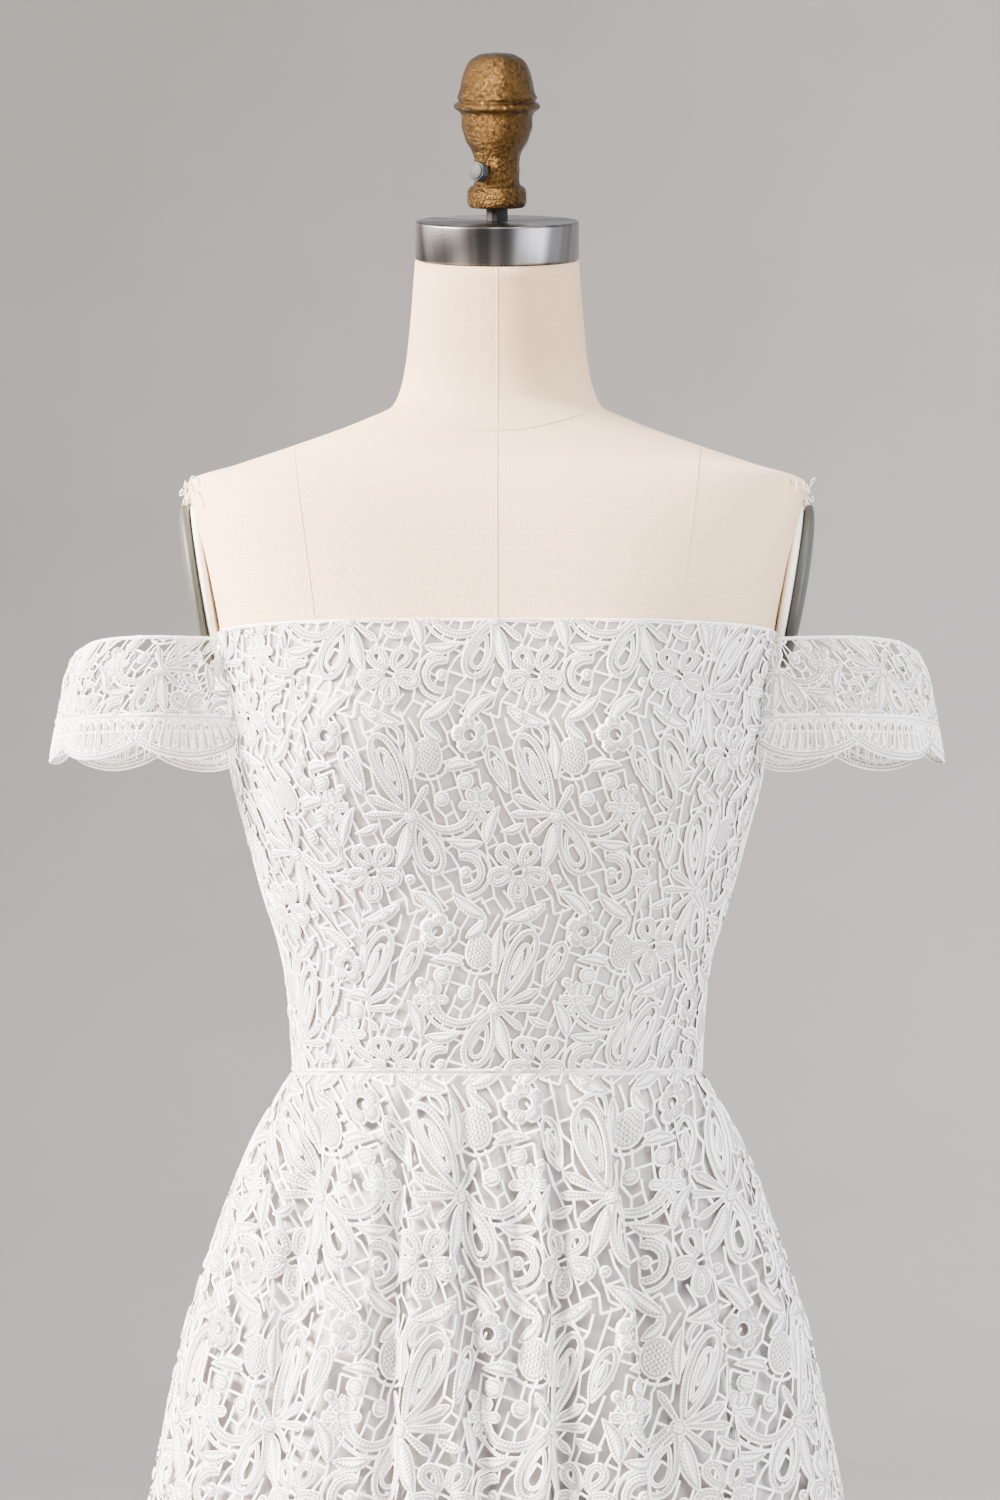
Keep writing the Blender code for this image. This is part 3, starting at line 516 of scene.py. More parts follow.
# Each ring of the skirt: its drop below the waist, half width, and depth in front and behind
SKIRT = np.array((
    (0.000, 0.1190 + DRESS_OUT, 0.0920 + DRESS_OUT, 0.0840 + DRESS_OUT), (0.012, 0.1300, 0.1010, 0.0940),
    (0.035, 0.1425, 0.1100, 0.1080), (0.073, 0.1580, 0.1220, 0.1240), (0.107, 0.1690, 0.1320, 0.1360),
    (0.153, 0.1830, 0.1430, 0.1500), (0.187, 0.1900, 0.1510, 0.1590), (0.257, 0.2030, 0.1690, 0.1780),
    (0.400, 0.2290, 0.2030, 0.2110), (0.600, 0.2620, 0.2450, 0.2520), (0.800, 0.2940, 0.2830, 0.2890),
    (1.042, 0.3320, 0.3250, 0.3290),
))
SKIRT_SQUARENESS = 2.2
# Each fold: its angle at the waist and at the hem, its spread in degrees and its height
FOLDS = (
    (-168, -170, 10, 0.017), (-147, -146, 11, 0.020), (-122, -120, 12, 0.016), (-96, -93, 12, 0.019),
    (-67, -61, 13, 0.018), (-39, -30, 11, 0.020), (-23, -7, 10, 0.016), (27, 18, 11, 0.019),
    (45, 39, 9, 0.017), (70, 65, 12, 0.018), (98, 94, 13, 0.019), (123, 121, 11, 0.016),
    (146, 147, 11, 0.020), (167, 171, 10, 0.017),
)
FOLD_MEAN = 0.35 * max(fold[3] for fold in FOLDS)
FOLD_GROWTH, FOLD_DRIFT, FOLD_START = 0.45, 0.7, 0.025
LINING_FOLD_SHARE, LINING_SLACK = 0.5, 0.011
SEAM_RISES = np.array((0.0, 0.1, 0.187, 0.262))
PRINCESS_FRONT = np.radians(np.array((43.0, 43.0, 47.0, 54.0)))
PRINCESS_BACK = np.radians(np.array((146.0, 143.0, 141.0, 140.0)))


def fold_run(drop):
    """How far the folds have opened: not at the waist seam, quickly below it, fully at the hem."""
    share = np.clip(drop, 0, HEM_DROP) / HEM_DROP
    return share**FOLD_GROWTH * np.clip(drop / FOLD_START, 0, 1)


def turned_from(angle, middle):
    """The signed turn from one angle to another, by the shorter way round."""
    return (angle - middle + math.pi) % (2 * math.pi) - math.pi


def fold_relief(angle, drop):
    """Broad rolls that lean from their place at the waist to their place at the hem."""
    drift = (np.clip(drop, 0, HEM_DROP) / HEM_DROP) ** FOLD_DRIFT
    relief = 0 * angle
    for waist_deg, hem_deg, spread_deg, height in FOLDS:
        middle = np.radians(waist_deg + (hem_deg - waist_deg) * drift)
        inside = np.clip(np.abs(turned_from(angle, middle)) / math.radians(spread_deg), 0, 1)
        relief = relief + height * np.cos(inside * math.pi / 2) ** 2
    return (relief - FOLD_MEAN) * fold_run(drop)


# Each small crease of the skirt: its angle, where it starts and ends below the waist, its lean in
# degrees, its spread in degrees and its depth
CREASES = (
    (-76, 0.010, 0.300, 5, 2.6, 0.0050), (-54, 0.006, 0.240, 8, 2.4, 0.0046),
    (-29, 0.004, 0.420, 12, 2.4, 0.0070), (-12, 0.004, 0.380, 15, 2.4, 0.0066),
    (4, 0.015, 0.200, 1, 2.0, 0.0024), (17, 0.004, 0.420, -6, 2.4, 0.0066),
    (36, 0.004, 0.330, -6, 2.4, 0.0060), (56, 0.006, 0.380, -6, 2.6, 0.0056),
    (84, 0.008, 0.260, -3, 2.6, 0.0044), (110, 0.004, 0.400, 2, 2.4, 0.0056),
    (134, 0.006, 0.300, -3, 2.4, 0.0048), (157, 0.004, 0.360, 3, 2.4, 0.0058),
    (-110, 0.006, 0.340, -2, 2.6, 0.0052), (-134, 0.004, 0.420, 4, 2.4, 0.0058),
    (-157, 0.006, 0.260, -3, 2.4, 0.0046), (-20, 0.300, 0.760, 4, 2.6, 0.0050),
    (26, 0.360, 0.900, -3, 3.0, 0.0046), (62, 0.420, 0.840, 3, 3.0, 0.0048),
    (-66, 0.350, 0.800, -4, 2.6, 0.0044), (118, 0.400, 0.880, 3, 3.0, 0.0046),
    (-128, 0.380, 0.780, -3, 3.0, 0.0044),
)
CREASE_DEPTH, CREASE_FADE = 1.4, 0.55
# The ridge beside a trough: its share of the depth, its distance and its spread in the trough's spreads
RIDGE_SHARE, RIDGE_AWAY, RIDGE_SPREAD = 0.7, 1.5, 1.1


def crease_relief(angle, drop):
    """Soft pleats: a trough with a low ridge on its side towards the skirt's middle."""
    relief = 0 * angle
    for degrees, start, end, lean, spread, depth in CREASES:
        t = np.clip((drop - start) / (end - start), 0, 1)
        away = turned_from(angle, math.radians(degrees) + math.radians(lean) * t) / math.radians(spread)
        trough = np.exp(-(away**2))
        ridge = np.exp(-(((away + RIDGE_AWAY) / RIDGE_SPREAD) ** 2))
        fade = np.sin(math.pi * t) ** CREASE_FADE
        relief = relief + CREASE_DEPTH * depth * fade * (RIDGE_SHARE * ridge - trough)
    return relief


def skirt_point(angle, rise, fold_share=1.0, slack=0.0):
    drop = -rise
    sizes = [smooth_value(SKIRT[:, 0], SKIRT[:, k], drop) for k in (1, 2, 3)]
    radius = ring_radius(angle, *sizes, SKIRT_SQUARENESS)
    relief = fold_share * fold_relief(angle, drop) + crease_relief(angle, drop) - slack * fold_run(drop)
    return placed(angle, radius + relief, rise)


def lining_point(angle, rise):
    return skirt_point(angle, rise, LINING_FOLD_SHARE, LINING_SLACK)


def bodice_top(angle):
    """The bodice's upper edge: level at front and back, dipping under the arm."""
    near = np.clip(1 - np.abs(np.abs(angle) - math.pi / 2) / UNDERARM_SPREAD, 0, 1)
    return NECKLINE_RISE - (NECKLINE_RISE - UNDERARM_RISE) * np.sin(near * math.pi / 2) ** 2


def princess_front(rise):
    return smooth_value(SEAM_RISES, PRINCESS_FRONT, rise)


def princess_back(rise):
    return smooth_value(SEAM_RISES, PRINCESS_BACK, rise)


def side_seam(rise):
    return math.pi / 2 + 0 * rise


def back_seam(rise):
    return math.pi + 0 * rise


def flipped(seam):
    """A seam's mirror image on the left."""
    return lambda rise: -seam(rise)


BODICE_PANELS = (
    ("centre_front", flipped(princess_front), princess_front),
    ("side_front_right", princess_front, side_seam),
    ("side_back_right", side_seam, princess_back),
    ("centre_back_right", princess_back, back_seam),
    ("side_front_left", flipped(side_seam), flipped(princess_front)),
    ("side_back_left", flipped(princess_back), flipped(side_seam)),
    ("centre_back_left", flipped(back_seam), flipped(princess_back)),
)
SKIRT_PANELS = (
    ("front", math.radians(-90), math.radians(90)),
    ("back_left", math.radians(-180), math.radians(-90)),
    ("back_right", math.radians(90), math.radians(180)),
)

# Acetate satin: pale pinkish grey, close and lustrous, its float threads running down the cloth, coloured
# darker than that as painted shade
SATIN, shader = material("lining_satin_with_painted_shade", 0.42, Sheen_Weight=0.1, Anisotropic=0.4)
floats = noise(SATIN, 900, 2, 0.5, (1, 1, 0.05))
shade = noise(SATIN, 14, 3, 0.5)
# Painted shade: both tones are darker than the satin's own pale colour, for the lining seen in shade
# through the lace's gaps
tone = blended(SATIN, shade, "#9C9594", "#AAA4A5")
finish(SATIN, shader, tone, maths(SATIN, "MULTIPLY_ADD", floats, 0.5, shade), 0.15, 0.0006)


def shell(name, surface, angle, rise, out, look):
    """A smooth open shell of cloth over grids of angles and rises."""
    points = outward(surface, angle, rise, np.full(angle.shape, out))
    return object_of(name, points.reshape(-1, 3), grid_faces(*angle.shape), look)


def area_of(made):
    return sum(face.area for face in made.data.polygons)


def arc_lengths(points):
    """The length along a line of points, at each of them."""
    return np.concatenate([[0.0], np.cumsum(np.linalg.norm(np.diff(points, axis=0), axis=-1))])


# Each panel of lining stops this far from its seam in radians, and this far over the waist
LINING_EDGE, LINING_FOOT = 0.0008, 0.0002
level = np.linspace(0, 1, 34)[:, None]
share = np.linspace(0, 1, 40)[None, :]
for name, start, end in BODICE_PANELS:
    low, high = start(level * NECKLINE_RISE) + LINING_EDGE, end(level * NECKLINE_RISE) - LINING_EDGE
    angle = low + (high - low) * share
    rise = LINING_FOOT + level * (bodice_top(angle) - LINING_FOOT)
    lining = shell("satin_" + name, body_point, angle, rise, SEAM_GAP + LINING_WALL, SATIN)
    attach(lining, "root")
    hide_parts("lining_" + name)
    area = area_of(lining)
for name, low, high in SKIRT_PANELS:
    columns = int(round((high - low) * 60))
    rise = -np.linspace(0.0003, HEM_DROP, 90)[::-1, None] + np.zeros(columns)
    angle = np.linspace(low + LINING_EDGE, high - LINING_EDGE, columns)[None, :] + 0 * rise
    lining = shell("satin_skirt_" + name, lining_point, angle, rise, -LACE_WALL - SEAM_GAP, SATIN)
    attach(lining, "root")
    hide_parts("lining_skirt_" + name)
    wide = float(arc_lengths(lining_point(angle[0], rise[0]))[-1])

# Neckline binding: the lining's own satin folded over the lace's upper edge
TWILL = 1400, 2, 0.6
PIPING = two_tone(
    "white_neckline_piping", 0.5, ("#E9E5E2", "#F9F6F3"), TWILL, TWILL, (0.3, 0.0004), Sheen_Weight=0.2
)
angle = np.linspace(-math.pi, math.pi, 300)
edge = ribbon(body_point, angle, bodice_top(angle) - 0.0010, 0.0013, 0.0011, SEAM_GAP + LINING_WALL)
binding = joined("neckline_binding", [edge], PIPING)
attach(binding, "root")

# Lace
# Heavy corded chemical lace with no ground: satin-stitched leaves, flowers and scrolls with raised
# cord outlines, joined by thin bars. The flat pattern below is worked in millimetres on a repeat
# 84 wide and 112 high, mirrored and shifted half a repeat in every other row.
REPEAT_WIDE, REPEAT_HIGH = 84.0, 112.0
# What the stitches follow: the distance from an edge, the distance from a vein, the length along the
# piece, and whether it is filled with net
STITCHES = ("edge", "vein", "along", "kind")
NO_VEIN = 9.0


class Flat:
    """A flat mesh of lace: its faces, and the place, relief and stitches of each point."""

    def __init__(self):
        self.points = {key: [] for key in ("x", "y", "high", *STITCHES)}
        self.faces = []

    def rows(self, *values, closed=False):
        """Adds a grid of points, a row for each station along the piece."""
        count, wide = values[0].shape
        first = len(self.points["x"])
        for store, grid in zip(self.points.values(), values):
            store.extend(np.broadcast_to(grid, (count, wide)).ravel().tolist())
        for a in range(count if closed else count - 1):
            here, ahead = first + a * wide, first + (a + 1) % count * wide
            self.faces += [(here + c, here + c + 1, ahead + c + 1, ahead + c) for c in range(wide - 1)]

    def arrays(self):
        """Its points and faces as arrays."""
        return {key: np.array(values) for key, values in self.points.items()}, np.array(self.faces)

    def strip(self, spine, half, lift=0.0, veined=False, closed=False):
        """A band along a spine, with a raised cord at each edge where it is wide enough."""
        spine, half = np.array(spine, float), np.array(half, float) + np.zeros(len(spine))
        if closed:
            ahead = np.roll(spine, -1, 0) - np.roll(spine, 1, 0)
        else:
            ahead = np.gradient(spine, axis=0)
        ahead /= np.linalg.norm(ahead, axis=1, keepdims=True)
        aside = np.stack([ahead[:, 1], -ahead[:, 0]], 1)
        wide = half.max() > 1.7
        places = np.array((-1, -0.74, 0, 0.74, 1) if wide else (-1, 0, 1))
        highs = np.array((-1.0, 0.25, -0.2, 0.25, -1.0) if wide else (-0.7, 0.1, -0.7))
        xs = spine[:, 0:1] + aside[:, 0:1] * half[:, None] * places
        ys = spine[:, 1:2] + aside[:, 1:2] * half[:, None] * places
        edges = half[:, None] * (1 - np.abs(places))
        veins = half[:, None] * np.abs(places) if veined else NO_VEIN
        # Satin stitches slant back from the spine
        alongs = arc_lengths(spine)[:, None] + 0.6 * half[:, None] * np.abs(places)
        self.rows(xs, ys, highs + lift, edges, veins, alongs, 0.0, closed=closed)

    def leaf(self, start, end, width, bend=0.0, count=10, lift=0.0):
        """A pointed leaf with a vein along it."""
        start, end = np.array(start, float), np.array(end, float)
        t = np.linspace(0, 1, count)
        side = np.array([end[1] - start[1], start[0] - end[0]])
        spine = start + (end - start) * t[:, None] + side * bend * np.sin(math.pi * t)[:, None]
        half = np.maximum(width / 2 * np.sin(math.pi * t**0.85) ** 0.75, 0.35)
        self.strip(spine, half, lift, veined=True)

    def taper(self, start, end, start_width, end_width, lift=0.0, count=6):
        """A straight finger that widens to a round end."""
        start, end = np.array(start, float), np.array(end, float)
        t = np.linspace(0, 1, count)
        half = (start_width + (end_width - start_width) * t) / 2
        half = half * np.sqrt(np.clip(1 - np.clip((t - 0.8) / 0.2, 0, 1) ** 2, 0.05, 1))
        self.strip(start + (end - start) * t[:, None], half, lift)

    def arc(self, centre, radius, first, last, start_width, end_width, lift=0.0, count=15):
        """A crescent between two angles in degrees."""
        t = np.linspace(0, 1, count)
        at = np.radians(first + (last - first) * t)
        spine = np.stack([centre[0] + radius * np.cos(at), centre[1] + radius * np.sin(at)], 1)
        half = (start_width + (end_width - start_width) * t) / 2
        half[0] *= 0.45
        half[-1] *= 0.6
        self.strip(spine, half, lift)

    def loop(self, start, end, width, cord, lift, count, fullness):
        """A band bent round and open in the middle, as full as a function of its turn."""
        start, end = np.array(start, float), np.array(end, float)
        length = np.linalg.norm(end - start)
        ahead = (end - start) / length
        aside = np.array([ahead[1], -ahead[0]])
        turn = np.linspace(0, 2 * math.pi, count, endpoint=False) + 0.1
        reach = (1 - np.cos(turn)) / 2
        spread = (width - cord) / 2 * np.sin(turn) * fullness(turn)
        spine = start + ahead * (reach * (length - cord / 2))[:, None] + aside * spread[:, None]
        self.strip(spine[::-1], cord / 2, lift, closed=True)

    def drop_loop(self, start, end, width, cord, lift=0.0):
        """A loop shaped like a drop."""
        self.loop(start, end, width, cord, lift, 21, lambda turn: np.sin(turn / 2) ** 0.8)

    def petal(self, start, end, width, cord, lift):
        """A broad loop, rounder than a drop."""
        self.loop(start, end, width, cord, lift, 15, lambda turn: (0.775 - 0.225 * np.cos(turn)) * 1.12)

    def flower(self, centre, size, turn, lift=0.0, petals=5):
        """Petals round a bound eye, split by lines of stitching."""
        count = petals * 6
        at = np.linspace(0, 2 * math.pi, count, endpoint=False)
        lobe = np.abs(np.cos(petals / 2 * at)) ** 0.6
        outer = size * (0.77 + 0.23 * lobe)
        eye = 0.30 * size
        away = np.abs((at + math.pi / petals) % (2 * math.pi / petals) - math.pi / petals)
        split = np.sin(math.pi / petals - away)
        shares = ((0.0, -0.9), (0.10, 0.35), (0.30, -0.1), (0.88, 0.25), (1.0, -1.0))
        radii = np.array([[eye + (r - eye) * s for s, _ in shares] for r in outer])
        xs = centre[0] + radii * np.cos(at + math.radians(turn))[:, None]
        ys = centre[1] + radii * np.sin(at + math.radians(turn))[:, None]
        edges = np.minimum(radii - eye, outer[:, None] - radii)
        veins = split[:, None] * radii
        highs = np.array([h for _, h in shares])[None, :] + lift
        highs = highs + 0.25 * np.minimum(split[:, None] * 2, 1) * (radii > eye * 1.4)
        grids = [grid[:, ::-1] for grid in (xs, ys, highs, edges, veins)]
        self.rows(*grids, (at * size * 0.75)[:, None], 0.0, closed=True)

    def disc(self, centre, wide, high, turn=0.0, lift=0.0, net=False, rim=2.2):
        """A domed ball, or an oval with a filling of net inside its rim."""
        count = 14 if net else 10
        at = np.linspace(0, 2 * math.pi, count, endpoint=False)
        shares = ((1.0, -1.0), (1 - rim / high if net else 0.7, 0.2), (0.02, -0.5 if net else 0.5))
        c, s = math.cos(math.radians(turn)), math.sin(math.radians(turn))
        u = np.array([[wide * k * math.cos(a) for k, _ in shares] for a in at])
        v = np.array([[high * k * math.sin(a) for k, _ in shares] for a in at])
        edges = np.array([[(1 - k) * min(wide, high) for k, _ in shares]] * count)
        highs = np.array([h for _, h in shares])[None, :] + lift
        xs, ys = centre[0] + u * c - v * s, centre[1] + u * s + v * c
        veins, alongs = (v + 50, u + 50) if net else (NO_VEIN, v + 0.3 * u)
        self.rows(xs, ys, highs, edges, veins, alongs, 1.0 if net else 0.0, closed=True)

    def open_flower(self, centre, size, turn, lift=0.0, petals=5, netted=()):
        """Looped petals round a bound eye, each petal open or filled with net."""
        self.arc(centre, 0.27 * size, turn, turn + 345, 0.17 * size, 0.17 * size, lift + 0.25, 13)
        for k in range(petals):
            at = math.radians(turn + 360 * (k + 0.5) / petals)
            near = (centre[0] + 0.26 * size * math.cos(at), centre[1] + 0.26 * size * math.sin(at))
            far = (centre[0] + size * math.cos(at), centre[1] + size * math.sin(at))
            self.petal(near, far, 1.06 * size * math.sin(math.pi / petals) * 1.12, 0.25 * size, lift)
            if k in netted:
                middle = (centre[0] + 0.66 * size * math.cos(at), centre[1] + 0.66 * size * math.sin(at))
                self.disc(middle, 0.26 * size, 0.30 * size, turn, lift - 0.7, net=True, rim=0.3)

    def bride(self, start, end, width):
        """A thin flat bar, two points wide."""
        start, end = np.array(start, float), np.array(end, float)
        ahead = (end - start) / np.linalg.norm(end - start)
        aside = np.array([ahead[1], -ahead[0]]) * width / 2
        corners = np.array([[start - aside, start + aside], [end - aside, end + aside]])
        self.rows(corners[..., 0], corners[..., 1], -0.75, 0.4, NO_VEIN, 0.0, 0.0)


def covers(flat, x, y):
    """Whether each point of a set lies under a face of a flat lace mesh."""
    points, faces = flat.arrays()
    corners = np.stack([points["x"], points["y"]], -1)[faces]
    ahead = np.roll(corners, -1, axis=1) - corners
    covered = np.zeros(len(x), bool)
    for k, (px, py) in enumerate(zip(x, y)):
        to = np.array((px, py)) - corners
        side = ahead[..., 0] * to[..., 1] - ahead[..., 1] * to[..., 0]
        covered[k] = bool(((side >= 0).all(axis=1) | (side <= 0).all(axis=1)).any())
    return covered


lace = Flat()
# Scrolls and crescents, each with a finer line outside it
lace.arc((25, 65), 17.0, -28, -205, 3.6, 7.5, lift=-0.1, count=17)
lace.arc((25, 65), 22.3, -35, -160, 1.6, 2.4, lift=-0.2, count=15)
lace.arc((14, 24), 9.0, 65, 285, 5.4, 4.0, lift=0.0, count=12)
lace.arc((14, 24), 14.2, 80, 270, 1.8, 2.6, lift=-0.1, count=13)
lace.arc((60, 99), 8.5, 20, 200, 2.0, 3.6, lift=0.0, count=10)
# Drops, outlined twice
lace.drop_loop((43, 55), (30, 22), 22.0, 3.6, lift=0.1)
lace.drop_loop((39.5, 47), (32.5, 27.5), 12.5, 2.4, lift=0.0)
lace.drop_loop((48, 60), (67, 103), 21.0, 3.6, lift=0.2)
lace.drop_loop((52, 69), (64, 95), 11.0, 2.4, lift=0.1)
lace.drop_loop((73, 70), (85, 96), 14.0, 3.0, lift=0.1)
for start, end, width, bend in (
    ((55, 76), (61, 90), 4.8, 0.0), ((76, 77), (82, 90), 5.0, 0.0), ((47, 52), (54, 25), 9.5, 0.06),
    ((86, 40), (78, 62), 8.0, 0.1), ((27, -3), (45, 13), 8.5, -0.1), ((52, 6), (76, -4), 8.0, 0.1),
    ((86, -2), (106, 13), 8.0, 0.08), ((27, 82), (8, 85), 7.0, 0.1), ((46, 77), (49, 106), 7.0, -0.08),
    ((4, 41), (25, 43), 7.0, 0.12), ((28, 98), (40, 110), 7.0, 0.1), ((64, 52), (78, 47), 5.5, 0.1),
):
    lace.leaf(start, end, width, bend, lift=0.15)
for end, width in (((70, 68), 6.5), ((73, 57), 6.0), ((36, 74), 5.5), ((61, 44), 5.5)):
    lace.taper((46, 57), end, 2.4, width, lift=0.05)
lace.disc((36, 90), 8.5, 11.0, -12, lift=0.1, net=True)
lace.arc((36, 90), 13.4, 200, 400, 1.6, 1.6, lift=-0.2, count=12)
lace.open_flower((68, 25), 18.5, 90, lift=0.3, netted=(1, 2, 3))
lace.flower((12, 102), 11.0, 80, lift=0.3)
lace.open_flower((8, 62), 10.5, 30, lift=0.2, petals=6)
for x, y, size in (
    (14.5, 76, 5.2), (28, 66, 4.6), (45, 56, 4.6), (14, 24, 3.6), (86, 72, 3.2), (46, 20, 3.2),
    (66, 112, 3.4),
):
    lace.disc((x, y), size, size, lift=0.45)
# Brides: a slack six-sided net of thin bars, kept where no motif covers it
NET_COLUMNS, NET_ROWS = 11, 14
NET_WIDE, NET_HIGH = REPEAT_WIDE / NET_COLUMNS, REPEAT_HIGH / NET_ROWS


def knot_at(column, row):
    """A knot of the net, moved off its even place by up to 1.5 mm."""
    wobble = 1.7 * (column % NET_COLUMNS) + 2.9 * (row % NET_ROWS)
    x = (column + 0.5 * (row % 2)) * NET_WIDE + 1.5 * math.sin(5.1 * wobble)
    return x, row * NET_HIGH + 1.3 * math.cos(3.7 * wobble) + (1.6 if (column + row) % 2 else -1.6)


for row in range(NET_ROWS):
    for column in range(NET_COLUMNS):
        here = knot_at(column, row)
        ends = [knot_at(column + 1, row)] if (column + row) % 2 else []
        ends.append(knot_at(column + row % 2, row + 1))
        for end in ends:
            middle = ((here[0] + end[0]) / 2, (here[1] + end[1]) / 2)
            samples = np.array([here, middle, end])
            around = np.concatenate([samples + (dx, 0) for dx in (-REPEAT_WIDE, 0, REPEAT_WIDE)])
            hidden = covers(lace, around[:, 0], around[:, 1]).reshape(3, 3).any(axis=0)
            if not hidden.all():
                lace.bride(here, end, 1.25)

TILE, TILE_FACES = lace.arrays()


def arc_table(surface, low, high, rises, anchor, samples):
    """Arc lengths in mm from an anchor angle along each level of a panel, and their angles."""
    angles, arcs = [], []
    for rise in rises:
        angle = np.linspace(float(low(rise)), float(high(rise)), samples)
        points = surface(angle, rise + 0 * angle)
        arc = arc_lengths(points) * 1000
        arcs.append(arc - np.interp(float(anchor(rise)), angle, arc))
        angles.append(angle)
    return np.array(angles), np.array(arcs)


def lace_piece(name, points, faces, data, mirror):
    """An object of lace that keeps what its stitches follow, mirrored where it is a left one."""
    if mirror:
        points = points * np.array((-1.0, 1.0, 1.0))
        faces = faces[:, ::-1]
    made = object_of(name, points, faces.tolist(), LACE)
    for key in STITCHES:
        stored = made.data.attributes.new(key, "FLOAT", "POINT")
        stored.data.foreach_set("value", data[key].astype(np.float32))
    return made


def kept_of(faces, inside):
    """The points used by the faces that touch the inside, and those faces renumbered to them."""
    used, kept = np.unique(faces[inside[faces].any(axis=1)], return_inverse=True)
    return used, kept.reshape(-1, 4)


def lay_lace(
    name, surface, low, high, rises, anchor, shift, out,
    top=None, slope=1.0, samples=240, mirror=False, size=1.0,
):
    """Cuts a panel from the flat lace and lays it on a surface, trimmed at the panel's outline.

    The outline is two functions of the rise, the lowest and highest rise, and a top by angle. The
    pattern starts at a shift in mm from an anchor angle and the waist, at its own size.
    """
    angles, arcs = arc_table(surface, low, high, rises, anchor, samples)
    xs, ys, copies = [], [], []
    wide, tall = REPEAT_WIDE * size, REPEAT_HIGH * size
    first_row = int(math.floor((rises[0] * 1000 * slope + shift[1]) / tall)) - 1
    last_row = int(math.ceil((rises[-1] * 1000 * slope + shift[1]) / tall)) + 1
    first_column = int(math.floor((arcs.min() + shift[0]) / wide)) - 1
    last_column = int(math.ceil((arcs.max() + shift[0]) / wide)) + 1
    count = len(TILE["x"])
    for row in range(first_row, last_row):
        turned = row % 2 == 1
        x = wide * 1.5 - TILE["x"] * size if turned else TILE["x"] * size
        for column in range(first_column, last_column + 1):
            across = x + column * wide - shift[0]
            if across.max() < arcs.min() or across.min() > arcs.max():
                continue
            copies.append((TILE_FACES[:, ::-1] if turned else TILE_FACES) + count * len(copies))
            xs.append(across)
            ys.append(TILE["y"] * size + row * tall - shift[1])
    x, y, faces = np.concatenate(xs), np.concatenate(ys), np.concatenate(copies)
    rise = y / 1000 / slope
    k = np.clip(np.searchsorted(rises, rise) - 1, 0, len(rises) - 2)
    t = np.clip((rise - rises[k]) / (rises[k + 1] - rises[k]), 0, 1)
    angle, inside = np.zeros(x.shape), np.zeros(x.shape, bool)
    for band in range(len(rises) - 1):
        here = np.nonzero(k == band)[0]
        lower = np.interp(x[here], arcs[band], angles[band])
        upper = np.interp(x[here], arcs[band + 1], angles[band + 1])
        angle[here] = lower + (upper - lower) * t[here]
        left = arcs[band, 0] + (arcs[band + 1, 0] - arcs[band, 0]) * t[here]
        right = arcs[band, -1] + (arcs[band + 1, -1] - arcs[band, -1]) * t[here]
        inside[here] = (x[here] > left) & (x[here] < right)
    ceiling = rises[-1] + 0 * rise if top is None else np.minimum(rises[-1], top(angle))
    inside &= (rise > rises[0]) & (rise < ceiling)
    used, kept = kept_of(faces, inside)
    rise = np.clip(rise, rises[0], ceiling)[used]
    data = {key: values[used % count] for key, values in TILE.items()}
    points = outward(surface, angle[used], rise, out + data["high"] / 1000)
    return lace_piece(name, points, kept, data, mirror), arcs


def flat_size(arcs, rises, slope=1.0):
    """The greatest width, the length and the area of a panel laid flat, in metres."""
    wide = (arcs[:, -1] - arcs[:, 0]) / 1000
    area = float(np.sum((wide[1:] + wide[:-1]) / 2 * np.diff(rises))) * slope
    return float(wide.max()), float(rises[-1] - rises[0]) * slope, area


STITCH_PITCH, NET_PITCH = 2.0, 2.8


